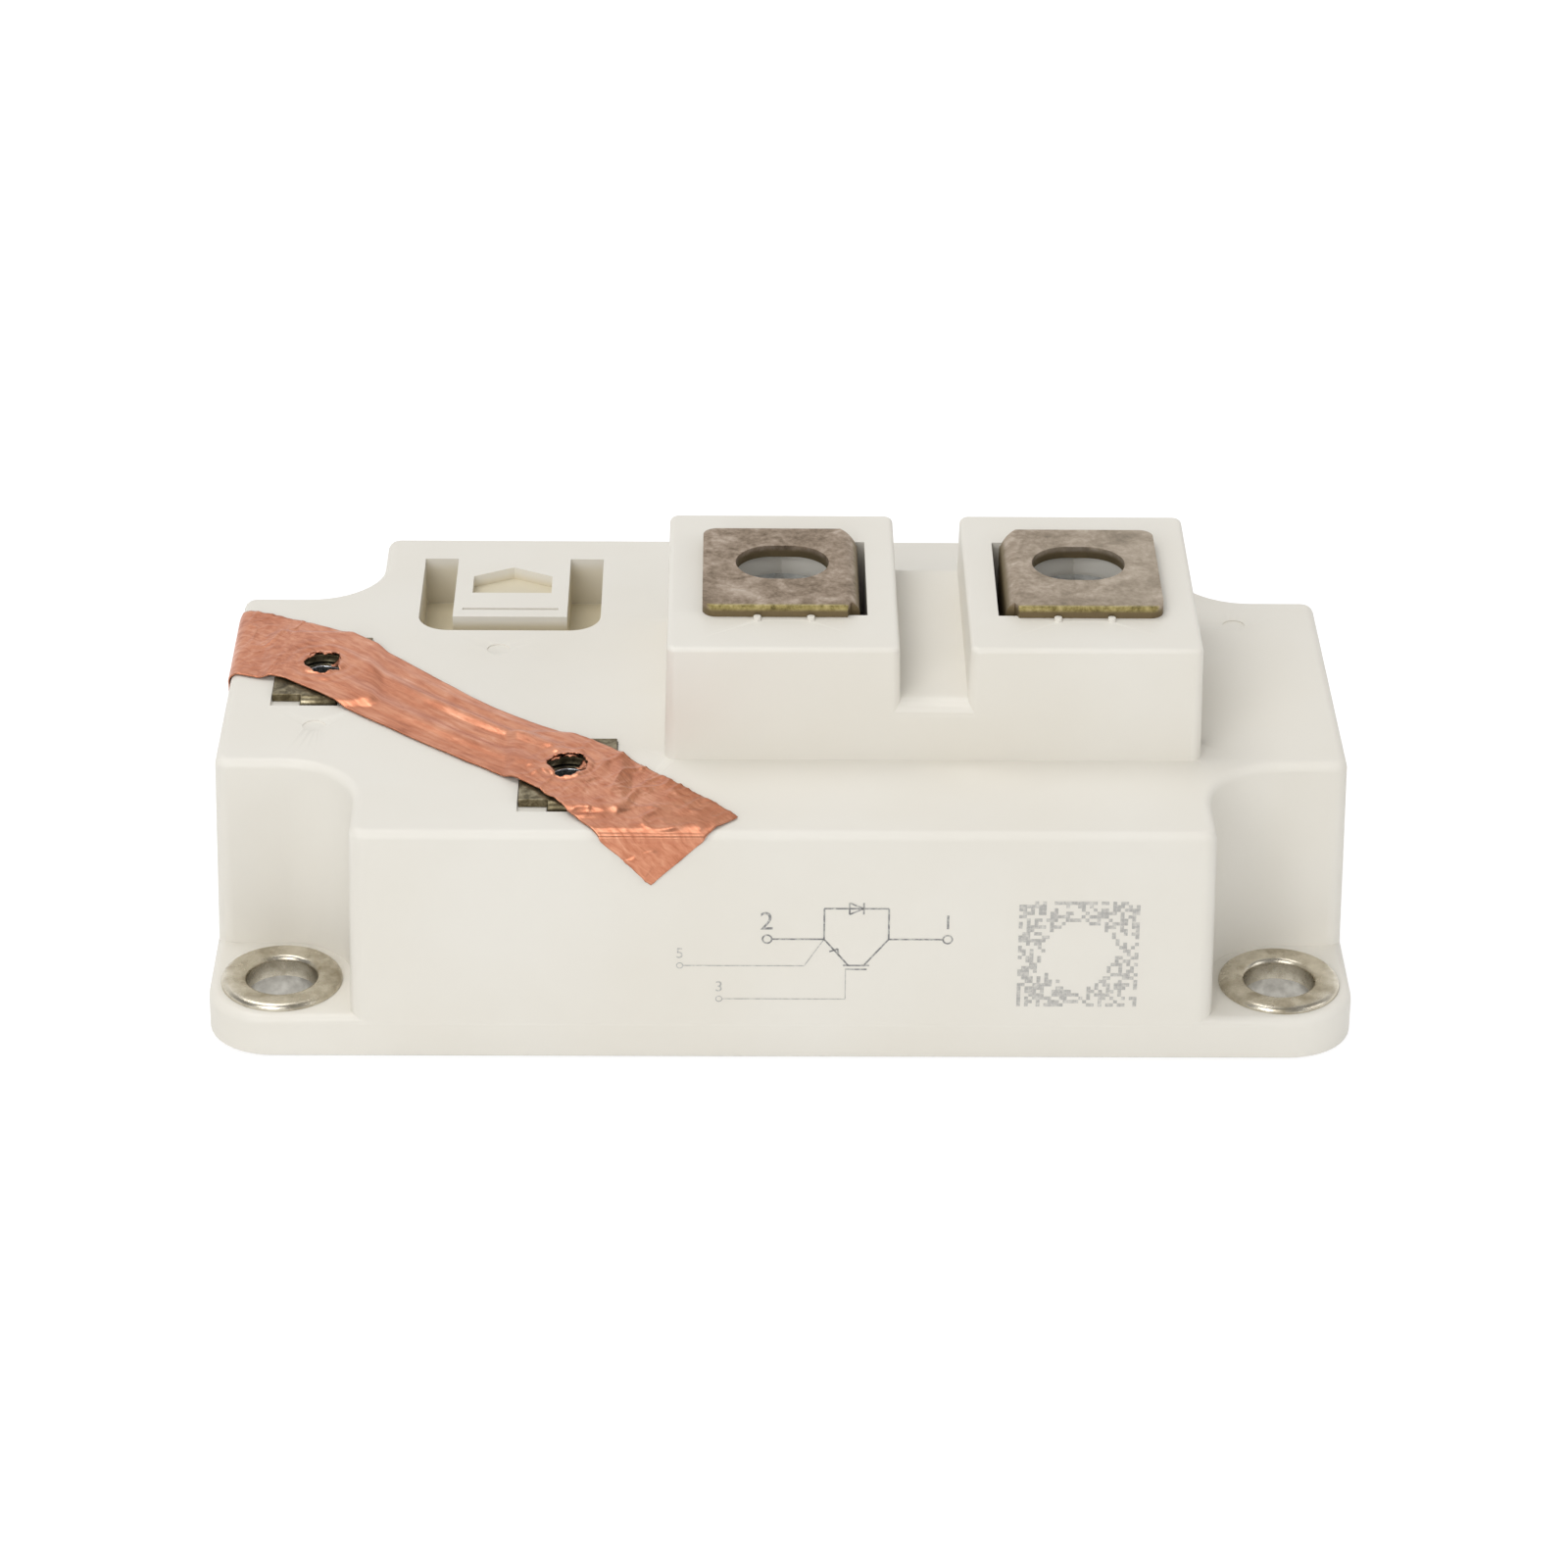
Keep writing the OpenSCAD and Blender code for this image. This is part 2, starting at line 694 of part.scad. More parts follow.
// ---- shorting foil ----

foil_gap = 0.12;        // between the foil and the plastic below it
foil_ramp = 1.3;        // how far the foil takes to come down beside a tab
foil_across = 12;       // cells across the strip

// The route runs over both control screws and down over the front edge
foil_end = width / 2 - draft_at(body_top) + foil_overhang * 0.55;
foil_route = [
    [-length / 2 - 5.6, sense_y + 7.9], [-length / 2 - 1.8, sense_y + 6.4],
    [sense_x - 5.3, sense_y + 4.0], [sense_x + 0.2, sense_y + 1.1],
    [(sense_x + gate_x) / 2 + 0.9, (sense_y + gate_y) / 2 - 0.9],
    [gate_x - 0.2, gate_y + 0.5], [gate_x + 6.6, gate_y - 7.0],
    [gate_x + 6.6 + (foil_end + gate_y - 7.0) * 0.95, -foil_end],
    [gate_x + 6.6 + (foil_end + gate_y - 7.0) * 1.9, -2 * foil_end - gate_y + 7.0]];
// share of the full width that is left where the foil is puckered
foil_pucker = [1, 1, 1, 0.94, 0.79, 0.83, 0.92, 0.88, 0.88];

// Catmull-Rom value between b and c at u
function spline(a, b, c, d, u) =
    (2 * b + (c - a) * u + (2 * a - 5 * b + 4 * c - d) * u * u
     + (3 * b - a - 3 * c + d) * u * u * u) / 2;
function foil_at(list, s) =
    let (i = min(floor(s), len(list) - 4), u = s - i)
    spline(list[i], list[i + 1], list[i + 2], list[i + 3], u);

// Height of the foil above the body at a flat place: over a tab, beside it, and its ridges
function beside(p, x, y) =
    norm([max(abs(p[0] - x) - tab_width / 2, 0),
          max(y - tab_back - p[1], p[1] - y - (-tab_front), 0)]);
function tab_distance(p, x, y) =
    norm([max(abs(p[0] - x) - tab_width / 2, 0),
          max(p[1] - y - tab_back, y - tab_front - p[1], 0)]);
function step_down(d) = let (t = min(max(d / foil_ramp, 0), 1)) 1 - t * t * (3 - 2 * t);
function ridge(t, centre, share) = exp(-pow((t - centre) / share, 2));
function foil_height(p, s, t) =
    let (on_tab = max(step_down(tab_distance(p, sense_x, sense_y) - 0.4),
                      step_down(tab_distance(p, gate_x, gate_y) - 0.4)),
         between = max(0, sin(min(max((s - 1.9) / 2.3, 0), 1) * 180)))
    foil_gap + tab_proud * on_tab
    + between * (0.5 * ridge(t, 0.3, 0.16) + 0.35 * ridge(t, -0.42, 0.2));

// Wraps a flat distance past an edge round the rounded edge and down the wall
function wrap(u, h) =
    let (turn = 90 - draft, bend_length = top_fillet * turn * PI / 180, r = top_fillet + h)
    u <= 0 ? [u, h]
    : u < bend_length ? let (a = u / top_fillet * 180 / PI) [r * sin(a), r * cos(a) - top_fillet]
    : [r * sin(turn) + (u - bend_length) * cos(turn),
       r * cos(turn) - top_fillet - (u - bend_length) * sin(turn)];

// Place on the folded foil: s along the route, t across from -1 to 1, lift off the plastic
function foil_point(s, t, lift) =
    let (
        c = foil_at(foil_route, s),
        ahead = foil_at(foil_route, s + 0.02) - foil_at(foil_route, s - 0.02),
        side = [-ahead[1], ahead[0]] / norm(ahead),
        p = c + side * t * foil_width / 2 * foil_at(foil_pucker, s),
        top_in = draft_at(body_top - top_fillet) + top_fillet,
        over_x = -p[0] - (length / 2 - top_in),
        over_y = -p[1] - (width / 2 - top_in),
        h = foil_height(p, s, t) + lift,
        wx = wrap(over_x, h),
        wy = wrap(over_y, h))
    over_x > 0 ? [-(length / 2 - top_in) - wx[0], p[1], body_top + wx[1]]
    : over_y > 0 ? [p[0], -(width / 2 - top_in) - wy[0], body_top + wy[1]]
    : [p[0], p[1], body_top + h];

// Stations along the route: close together at both folds
foil_stations = concat([for (i = [0 : 8]) 0.55 + i * 0.1], [for (i = [1 : 24]) 1.35 + i * 0.15],
                       [for (i = [1 : 20]) 4.95 + i * 0.0525]);

module foil_sheet() {
    m = foil_across + 1;
    n = len(foil_stations);
    side = n * m;
    points = [for (lift = [0, foil_thickness]) for (s = foil_stations) for (j = [0 : foil_across])
        foil_point(s, 2 * j / foil_across - 1, lift)];
    function cell(i, j) = i * m + j;
    lower = [for (i = [0 : n - 2]) for (j = [0 : foil_across - 1])
        each [[cell(i, j), cell(i + 1, j), cell(i, j + 1)],
              [cell(i + 1, j), cell(i + 1, j + 1), cell(i, j + 1)]]];
    upper = [for (f = lower) [f[2] + side, f[1] + side, f[0] + side]];
    ends = [for (j = [0 : foil_across - 1])
        each [[cell(0, j), cell(0, j + 1), cell(0, j + 1) + side, cell(0, j) + side],
              [cell(n - 1, j + 1), cell(n - 1, j),
               cell(n - 1, j) + side, cell(n - 1, j + 1) + side]]];
    edges = [for (i = [0 : n - 2])
        each [[cell(i + 1, 0), cell(i, 0), cell(i, 0) + side, cell(i + 1, 0) + side],
              [cell(i, m - 1), cell(i + 1, m - 1),
               cell(i + 1, m - 1) + side, cell(i, m - 1) + side]]];
    polyhedron(points, concat(lower, upper, ends, edges));
}

// Torn opening over a control screw
module torn_hole(x, y) {
    translate([x, y, body_top - through]) linear_extrude(4)
        polygon([[-2.3, 0.3], [-0.6, 2.1], [0.9, 2.3], [2.3, 0.7],
                 [1.9, -0.9], [0.4, -2.2], [-1.2, -1.8]]);
}

module shorting_foil() {
    color([0.80, 0.47, 0.35]) difference() {
        foil_sheet();
        torn_hole(sense_x, sense_y);
        torn_hole(gate_x, gate_y);
    }
}

// ---- ceramic tiles ----

// Places children on the right tile (side = 1) or the left one (side = -1)
module on_tile(side) {
    if (side > 0) children();
    else mirror([1, 0, 0]) children();
}

module base_copper(side) {
    color([0.80, 0.50, 0.36]) on_tile(side)
        span([tile_gap + copper_margin, -track_half, base_thickness],
             [tile_outer - copper_margin, track_half, base_thickness + tile_copper]);
}

module ceramic_tile(side) {
    color([0.94, 0.94, 0.92]) on_tile(side)
        span([tile_gap, -tile_width / 2, base_thickness + tile_copper],
             [tile_outer, tile_width / 2, track_bottom]);
}

module track(x0, x1, y0, y1) {
    span([x0, y0, track_bottom], [x1, y1, track_top]);
}

strip_y = -track_half + control_width;      // back edge of the gate strip
main_front = strip_y + track_gap;           // front edge of the main tracks

module emitter_track(side) {
    color([0.82, 0.52, 0.38]) on_tile(side)
        track(emitter_in, emitter_out, main_front, track_half);
}

module collector_track(side) {
    color([0.82, 0.52, 0.38]) on_tile(side)
        track(collector_in, collector_out, main_front, track_half);
}

module sense_track(side) {
    color([0.82, 0.52, 0.38]) on_tile(side)
        track(sense_in, sense_in + control_width, main_front, track_half);
}

// Gate track: along the tile's outer edge and its front edge
module gate_track(side) {
    color([0.82, 0.52, 0.38]) on_tile(side) {
        track(gate_in, gate_in + control_width, -track_half, track_half);
        track(emitter_in, gate_in + control_width, -track_half, strip_y);
    }
}

// Square chips in rows on both tiles
module chips(x, side_length) {
    for (side = [-1, 1], y = row_y)
        translate([side * x, y, track_top + chip_thickness / 2])
            cube([side_length, side_length, chip_thickness], center = true);
}

module igbt_chips() {
    color([0.32, 0.33, 0.36]) chips(igbt_x, igbt_side);
}

module diode_chips() {
    color([0.38, 0.39, 0.42]) chips(diode_x, diode_side);
}

// One bond wire: an arc whose feet stand on two surfaces at x0, z0 and x1, z1
module bond_wire(x0, z0, x1, z1, y, rise) {
    run = norm([x1 - x0, z1 - z0]);
    radius = (run * run / 4 + rise * rise) / (2 * rise);
    half = asin(run / 2 / radius);
    tilt = atan2(z1 - z0, x1 - x0);
    translate([(x0 + x1) / 2, y, (z0 + z1) / 2 + wire / 2]) rotate([0, -tilt, 0])
        translate([0, 0, rise - radius]) rotate([90, 0, 0]) rotate(90 - half)
            rotate_extrude(angle = 2 * half, $fn = 48) translate([radius, 0]) circle(d = wire, $fn = 14);
}

// Heavy wires: emitter track to diode, and diode to transistor
module emitter_wires() {
    near = 1.2;
    color([0.86, 0.86, 0.88])
        for (side = [-1, 1], y = row_y, k = [0 : wires_per_chip - 1]) on_tile(side) {
            dy = (k - (wires_per_chip - 1) / 2) * 1.3;
            bond_wire(emitter_out - near, track_top, diode_x - near, chip_top, y + dy,
                      loop_height * 0.8);
            bond_wire(diode_x + near, chip_top, igbt_x, chip_top, y + dy, loop_height);
        }
}

resistor_gap = 2.6;     // from a chip row's middle to its resistor

// Thin wires: gate resistor to gate pad, and chip emitter to sense track
module control_wires() {
    pad = igbt_x + igbt_side / 2 - 1;
    color([0.86, 0.86, 0.88])
        for (side = [-1, 1], y = row_y) on_tile(side) {
            bond_wire(pad, chip_top, gate_in + control_width / 2, track_top, y + 1,
                      loop_height * 0.9);
            bond_wire(pad, chip_top, sense_in + control_width / 2, track_top, y - 1,
                      loop_height * 0.6);
        }
}

module gate_resistors() {
    color([0.25, 0.25, 0.27])
        for (side = [-1, 1], y = row_y) on_tile(side)
            translate([gate_in + 0.1, y - resistor_gap, track_top])
                cube([control_width - 0.2, 2.4, 0.6]);
}

// Flat bridge between the two tiles' tracks, arched over the gap
module tile_link(y, link_width) {
    reach = emitter_in + 1.4;
    lift = 0.5;
    for (s = [-1, 1])
        span([s > 0 ? emitter_in : -reach, y, track_top],
             [s > 0 ? reach : -emitter_in, y + link_width, track_top + lift + tile_copper]);
    span([-reach, y, track_top + lift], [reach, y + link_width, track_top + lift + tile_copper]);
}

module gate_link() {
    color([0.80, 0.50, 0.36]) tile_link(-track_half + 0.2, control_width - 0.4);
}

module sense_link() {
    color([0.80, 0.50, 0.36]) tile_link(track_half - 4, 3);
}

// Soft gel above the wires, open round every leg that passes through it
module silicone_gel() {
    leg_clear = 0.25;
    emitter_leg = emitter_x + leg_reach;
    collector_leg = collector_x - leg_reach;
    foot_half = foot_width / 2 + leg_clear;
    low = gel_bottom - through;
    high = gel_top + through;
    color([0.85, 0.90, 0.92, 0.5]) difference() {
        translate([0, 0, gel_bottom]) linear_extrude(gel_thickness)
            polygon(body_ring(wall + draft_at(cavity_top) + 2 * fit));
        for (x = [-emitter_leg, emitter_leg - strap, -collector_leg - strap, collector_leg])
            span([x - leg_clear, plate_y - foot_half, low],
                 [x + strap + leg_clear, plate_y + foot_half, high]);
        span([gate_x - tab_leg / 2 - leg_clear, gate_y - tab_front - leg_clear, low],
             [gate_x + tab_leg / 2 + leg_clear, gate_y - tab_front + tab_strip + leg_clear, high]);
        translate([-(sense_in + control_width / 2), sense_y - tab_front, 0])
            span([-tab_leg / 2 - leg_clear, -leg_clear, low],
                 [tab_leg / 2 + leg_clear, tab_strip + leg_clear, high]);
    }
}

housing();
baseplate();
bush(-1, -1);  // bush_front_left
bush(1, -1);  // bush_front_right
bush(-1, 1);  // bush_rear_left
bush(1, 1);  // bush_rear_right
emitter_terminal();
collector_terminal();
main_nut(emitter_x);  // emitter_nut
main_nut(collector_x);  // collector_nut
gate_terminal();
sense_terminal();
control_nut(gate_x, gate_y);  // gate_nut
control_nut(sense_x, sense_y);  // sense_nut
shorting_foil();
base_copper(-1);  // base_copper_left
base_copper(1);  // base_copper_right
ceramic_tile(-1);  // ceramic_left
ceramic_tile(1);  // ceramic_right
collector_track(-1);  // collector_track_left
collector_track(1);  // collector_track_right
emitter_track(-1);  // emitter_track_left
emitter_track(1);  // emitter_track_right
sense_track(-1);  // sense_track_left
sense_track(1);  // sense_track_right
gate_track(-1);  // gate_track_left
gate_track(1);  // gate_track_right
igbt_chips();
diode_chips();
emitter_wires();
control_wires();
gate_resistors();
gate_link();
sense_link();
silicone_gel();
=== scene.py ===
import math
import bmesh
import bpy
from mathutils import Matrix, Vector, noise


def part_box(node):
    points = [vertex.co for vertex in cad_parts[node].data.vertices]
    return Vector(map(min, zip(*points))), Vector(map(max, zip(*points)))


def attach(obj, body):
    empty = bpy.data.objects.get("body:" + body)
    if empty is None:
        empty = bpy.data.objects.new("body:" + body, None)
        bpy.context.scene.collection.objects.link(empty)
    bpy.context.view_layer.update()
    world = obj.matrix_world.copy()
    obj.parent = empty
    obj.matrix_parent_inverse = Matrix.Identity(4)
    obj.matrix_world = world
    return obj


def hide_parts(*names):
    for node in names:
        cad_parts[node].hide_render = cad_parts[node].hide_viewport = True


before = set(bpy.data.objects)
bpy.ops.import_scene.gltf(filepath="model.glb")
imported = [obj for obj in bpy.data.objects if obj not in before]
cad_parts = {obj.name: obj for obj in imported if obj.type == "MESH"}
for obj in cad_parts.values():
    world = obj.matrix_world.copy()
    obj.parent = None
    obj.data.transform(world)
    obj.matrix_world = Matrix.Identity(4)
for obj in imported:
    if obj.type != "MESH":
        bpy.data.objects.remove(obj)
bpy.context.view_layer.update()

mm = 0.001
scene = bpy.context.scene


def centreOf(node):
    low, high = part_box(node)
    return (Vector(low) + Vector(high)) / 2


def sizeOf(node):
    low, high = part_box(node)
    return Vector(high) - Vector(low)


cameraSettings = {
    "lens": 114.49,
    "sensor": 36,
    "place": (-4.72, -422.43, 246.62),      # millimetres
    "pitch": 0.48058,       # radians, downwards
    "yaw": 0.02048,
    "roll": 0.01362,
    "shiftX": -0.0246,
    "shiftY": -0.0823,
}


def makeCamera(settings):
    pitch, yaw, roll = settings["pitch"], settings["yaw"], settings["roll"]
    level = math.cos(pitch)
    forward = Vector((math.sin(yaw) * level, math.cos(yaw) * level, -math.sin(pitch)))
    right = Vector((math.cos(yaw), -math.sin(yaw), 0))
    up = right.cross(forward)
    turnedRight = right * math.cos(roll) + up * math.sin(roll)
    turnedUp = up * math.cos(roll) - right * math.sin(roll)
    data = bpy.data.cameras.new("camera")
    data.lens = settings["lens"]
    data.sensor_width = settings["sensor"]
    data.shift_x = settings["shiftX"]
    data.shift_y = settings["shiftY"]
    data.clip_start = 0.01
    data.clip_end = 20
    camera = bpy.data.objects.new("camera", data)
    scene.collection.objects.link(camera)
    turn = Matrix((turnedRight, turnedUp, -forward)).transposed().to_4x4()
    camera.matrix_world = Matrix.Translation(Vector(settings["place"]) * mm) @ turn
    scene.camera = camera


# places and sizes in metres, power in watts
lampSettings = {
    "top": {"place": (-0.25, 0.1, 0.8), "size": 0.5, "power": 2.4},
    "front": {"place": (-0.35, -0.9, 0.5), "size": 0.6, "power": 4.4},
    "right": {"place": (0.8, -0.35, 0.35), "size": 0.4, "power": 1.1},
}


def makeLamp(name, settings):
    data = bpy.data.lights.new(name, "AREA")
    data.shape = "SQUARE"
    data.size = settings["size"]
    data.energy = settings["power"]
    lamp = bpy.data.objects.new(name, data)
    scene.collection.objects.link(lamp)
    lamp.location = settings["place"]
    lamp.rotation_mode = "QUATERNION"
    lamp.rotation_quaternion = (Vector(settings["place"]) * -1).to_track_quat("-Z", "Y")


studioSettings = {
    "roomLight": 0.52,      # light from all round
    "darkRoom": 0.32,       # what metal shows of the room behind the camera
    "floorColour": (0.84, 0.84, 0.83, 1),
    "floorGlow": 0.84,      # white that the camera sees without the shadow
    "floorShare": 0.3,      # how much of the shadow stays on it
    "floorReach": 6.0,
    "roomLean": -0.6,       # the dark room lies in front and below
    "roomStart": -0.25,
    "roomEnd": 0.35,
}


# camera, glossy and transmission rays see the plain white studio
def viewRays(tree):
    rays = tree.nodes.new("ShaderNodeLightPath")
    first = tree.nodes.new("ShaderNodeMath")
    first.operation = "MAXIMUM"
    second = tree.nodes.new("ShaderNodeMath")
    second.operation = "MAXIMUM"
    tree.links.new(rays.outputs["Is Camera Ray"], first.inputs[0])
    tree.links.new(rays.outputs["Is Glossy Ray"], first.inputs[1])
    tree.links.new(first.outputs[0], second.inputs[0])
    tree.links.new(rays.outputs["Is Transmission Ray"], second.inputs[1])
    return rays, second.outputs[0]


def makeWorld(settings):
    world = bpy.data.worlds.new("studio")
    scene.world = world
    world.use_nodes = True
    tree = world.node_tree
    tree.nodes.clear()
    rays, seen = viewRays(tree)
    coordinates = tree.nodes.new("ShaderNodeTexCoord")
    split = tree.nodes.new("ShaderNodeSeparateXYZ")
    tree.links.new(coordinates.outputs["Generated"], split.inputs[0])
    lean = tree.nodes.new("ShaderNodeMath")
    lean.operation = "MULTIPLY_ADD"
    lean.inputs[1].default_value = settings["roomLean"]
    tree.links.new(split.outputs["Z"], lean.inputs[0])
    tree.links.new(split.outputs["Y"], lean.inputs[2])
    backdrop = tree.nodes.new("ShaderNodeMapRange")
    backdrop.inputs["From Min"].default_value = settings["roomStart"]
    backdrop.inputs["From Max"].default_value = settings["roomEnd"]
    backdrop.inputs["To Min"].default_value = settings["darkRoom"]
    backdrop.inputs["To Max"].default_value = 1.0
    tree.links.new(lean.outputs[0], backdrop.inputs["Value"])
    plain = tree.nodes.new("ShaderNodeMath")
    plain.operation = "MAXIMUM"
    tree.links.new(backdrop.outputs["Result"], plain.inputs[0])
    tree.links.new(rays.outputs["Is Camera Ray"], plain.inputs[1])
    show = tree.nodes.new("ShaderNodeBackground")
    show.inputs["Color"].default_value = (1, 1, 1, 1)
    tree.links.new(plain.outputs[0], show.inputs["Strength"])
    light = tree.nodes.new("ShaderNodeBackground")
    light.inputs["Color"].default_value = (1, 1, 1, 1)
    light.inputs["Strength"].default_value = settings["roomLight"]
    mix = tree.nodes.new("ShaderNodeMixShader")
    output = tree.nodes.new("ShaderNodeOutputWorld")
    tree.links.new(seen, mix.inputs[0])
    tree.links.new(light.outputs[0], mix.inputs[1])
    tree.links.new(show.outputs[0], mix.inputs[2])
    tree.links.new(mix.outputs[0], output.inputs[0])


def makeFloor(settings):
    mesh = bpy.data.meshes.new("floor")
    reach = settings["floorReach"]
    corners = [(-reach, -reach, 0), (reach, -reach, 0), (reach, reach, 0), (-reach, reach, 0)]
    mesh.from_pydata(corners, [], [(0, 1, 2, 3)])
    floor = bpy.data.objects.new("floor", mesh)
    scene.collection.objects.link(floor)
    material = bpy.data.materials.new("paleFloor")
    material.use_nodes = True
    tree = material.node_tree
    tree.nodes.clear()
    _, seen = viewRays(tree)
    plain = tree.nodes.new("ShaderNodeBsdfDiffuse")
    plain.inputs["Color"].default_value = settings["floorColour"]
    thin = tree.nodes.new("ShaderNodeBsdfDiffuse")
    share = settings["floorShare"]
    thin.inputs["Color"].default_value = (share, share, share, 1)
    glow = tree.nodes.new("ShaderNodeEmission")
    glow.inputs["Strength"].default_value = settings["floorGlow"]
    both = tree.nodes.new("ShaderNodeAddShader")
    mix = tree.nodes.new("ShaderNodeMixShader")
    output = tree.nodes.new("ShaderNodeOutputMaterial")
    tree.links.new(glow.outputs[0], both.inputs[0])
    tree.links.new(thin.outputs[0], both.inputs[1])
    tree.links.new(seen, mix.inputs[0])
    tree.links.new(plain.outputs[0], mix.inputs[1])
    tree.links.new(both.outputs[0], mix.inputs[2])
    tree.links.new(mix.outputs[0], output.inputs[0])
    mesh.materials.append(material)


scene.view_settings.view_transform = "Standard"
makeCamera(cameraSettings)
for lampName, lampValues in lampSettings.items():
    makeLamp(lampName, lampValues)
makeWorld(studioSettings)
makeFloor(studioSettings)
print("studio ready")


def newMaterial(name, colour, metal, roughness, sockets=()):
    material = bpy.data.materials.new(name)
    material.use_nodes = True
    shader = material.node_tree.nodes["Principled BSDF"]
    shader.inputs["Base Color"].default_value = (*colour, 1)
    shader.inputs["Metallic"].default_value = metal
    shader.inputs["Roughness"].default_value = roughness
    for socket, value in dict(sockets).items():
        shader.inputs[socket].default_value = value
    return material, material.node_tree, shader


def objectPlace(tree):
    return tree.nodes.new("ShaderNodeTexCoord").outputs["Object"]


# noise with a grain in millimetres
def addNoise(tree, place, grain, detail=4, roughness=0.55, warp=0.0):
    node = tree.nodes.new("ShaderNodeTexNoise")
    node.inputs["Scale"].default_value = 1 / (grain * mm)
    node.inputs["Detail"].default_value = detail
    node.inputs["Roughness"].default_value = roughness
    node.inputs["Distortion"].default_value = warp
    tree.links.new(place, node.inputs["Vector"])
    return node.outputs["Fac"]


# noise stretched along a piece's own UV map
def addUvNoise(tree, stretch, scale, detail, roughness=0.5, warp=0.0):
    coordinates = tree.nodes.new("ShaderNodeTexCoord")
    mapping = tree.nodes.new("ShaderNodeMapping")
    mapping.inputs["Scale"].default_value = stretch
    tree.links.new(coordinates.outputs["UV"], mapping.inputs["Vector"])
    node = tree.nodes.new("ShaderNodeTexNoise")
    node.inputs["Scale"].default_value = scale
    node.inputs["Detail"].default_value = detail
    node.inputs["Roughness"].default_value = roughness
    node.inputs["Distortion"].default_value = warp
    tree.links.new(mapping.outputs["Vector"], node.inputs["Vector"])
    return node.outputs["Fac"]


def addRamp(tree, value, stops):
    node = tree.nodes.new("ShaderNodeValToRGB")
    ramp = node.color_ramp
    while len(ramp.elements) < len(stops):
        ramp.elements.new(0.5)
    for element, (at, colour) in zip(ramp.elements, stops):
        element.position = at
        element.color = (*colour, 1)
    tree.links.new(value, node.inputs["Fac"])
    return node.outputs["Color"]


def addRange(tree, value, fromMin, fromMax, toMin=0.0, toMax=1.0, kind="SMOOTHSTEP"):
    node = tree.nodes.new("ShaderNodeMapRange")
    node.interpolation_type = kind
    for socket, number in (("From Min", fromMin), ("From Max", fromMax),
                           ("To Min", toMin), ("To Max", toMax)):
        node.inputs[socket].default_value = number
    tree.links.new(value, node.inputs["Value"])
    return node.outputs["Result"]


def addMath(tree, kind, first, second):
    node = tree.nodes.new("ShaderNodeMath")
    node.operation = kind
    for index, value in enumerate((first, second)):
        if isinstance(value, (int, float)):
            node.inputs[index].default_value = value
        else:
            tree.links.new(value, node.inputs[index])
    return node.outputs[0]


def addBlend(tree, amount, first, second):
    node = tree.nodes.new("ShaderNodeMix")
    node.data_type = "RGBA"
    tree.links.new(amount, node.inputs["Factor"])
    for index, value in ((6, first), (7, second)):      # its two colour sockets
        if isinstance(value, tuple):
            node.inputs[index].default_value = (*value, 1)
        else:
            tree.links.new(value, node.inputs[index])
    return node.outputs[2]


def addBump(tree, shader, height, depth, strength=1.0, under=None):
    node = tree.nodes.new("ShaderNodeBump")
    node.inputs["Strength"].default_value = strength
    node.inputs["Distance"].default_value = depth * mm
    tree.links.new(height, node.inputs["Height"])
    if under is not None:
        tree.links.new(under, node.inputs["Normal"])
    tree.links.new(node.outputs["Normal"], shader.inputs["Normal"])
    return node.outputs["Normal"]


def splitPlace(tree):
    coordinates = tree.nodes.new("ShaderNodeTexCoord")
    split = tree.nodes.new("ShaderNodeSeparateXYZ")
    tree.links.new(coordinates.outputs["Object"], split.inputs[0])
    return split.outputs


def putPiece(name, mesh, material, slotName, *nodes):
    piece = bpy.data.objects.new(name, mesh)
    scene.collection.objects.link(piece)
    mesh.materials.clear()
    mesh.materials.append(material)
    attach(piece, "root")
    if nodes:
        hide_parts(*nodes)
    return piece


# plain mesh of an object with its modifiers applied; the object goes
def bakedMesh(holder):
    graph = bpy.context.evaluated_depsgraph_get()
    finished = holder.evaluated_get(graph)
    mesh = bpy.data.meshes.new_from_object(finished, preserve_all_data_layers=True, depsgraph=graph)
    bpy.data.objects.remove(holder)
    return mesh


edgeSettings = {"merge": 0.002, "sharpAngle": 32, "steps": 2, "weight": 80}


# copy of a solid with merged corners and softened edges
def softEdges(node, name, width, material, slotName):
    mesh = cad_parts[node].data.copy()
    mesh.name = name
    work = bmesh.new()
    work.from_mesh(mesh)
    bmesh.ops.remove_doubles(work, verts=work.verts, dist=edgeSettings["merge"] * mm)
    work.to_mesh(mesh)
    work.free()
    mesh.shade_smooth()
    holder = bpy.data.objects.new(name + "Work", mesh)
    scene.collection.objects.link(holder)
    bevel = holder.modifiers.new("edge", "BEVEL")
    bevel.width = width * mm
    bevel.segments = edgeSettings["steps"]
    bevel.limit_method = "ANGLE"
    bevel.angle_limit = math.radians(edgeSettings["sharpAngle"])
    bevel.miter_outer = "MITER_ARC"
    weighted = holder.modifiers.new("normals", "WEIGHTED_NORMAL")
    weighted.keep_sharp = True
    weighted.weight = edgeSettings["weight"]
    return putPiece(name, bakedMesh(holder), material, slotName, node)


plasticSettings = {
    "ivory": (0.765, 0.738, 0.675),
    "ivoryLow": (0.745, 0.712, 0.640),
    "tan": (0.66, 0.59, 0.43),      # darker tan painted inside the recess, stronger deeper below the top
    "grain": 0.35,
    "roughness": 0.46,
    "edge": 0.16,
}
recessSettings = {
    "lowX": -35.4,
    "highX": -17.6,
    "frontY": 9.8,
    "backY": 25.4,
    "topZ": 23.8,
    "fadeStart": 0.2,       # below the top
    "fadeEnd": 1.5,
    "soft": 0.25,
}


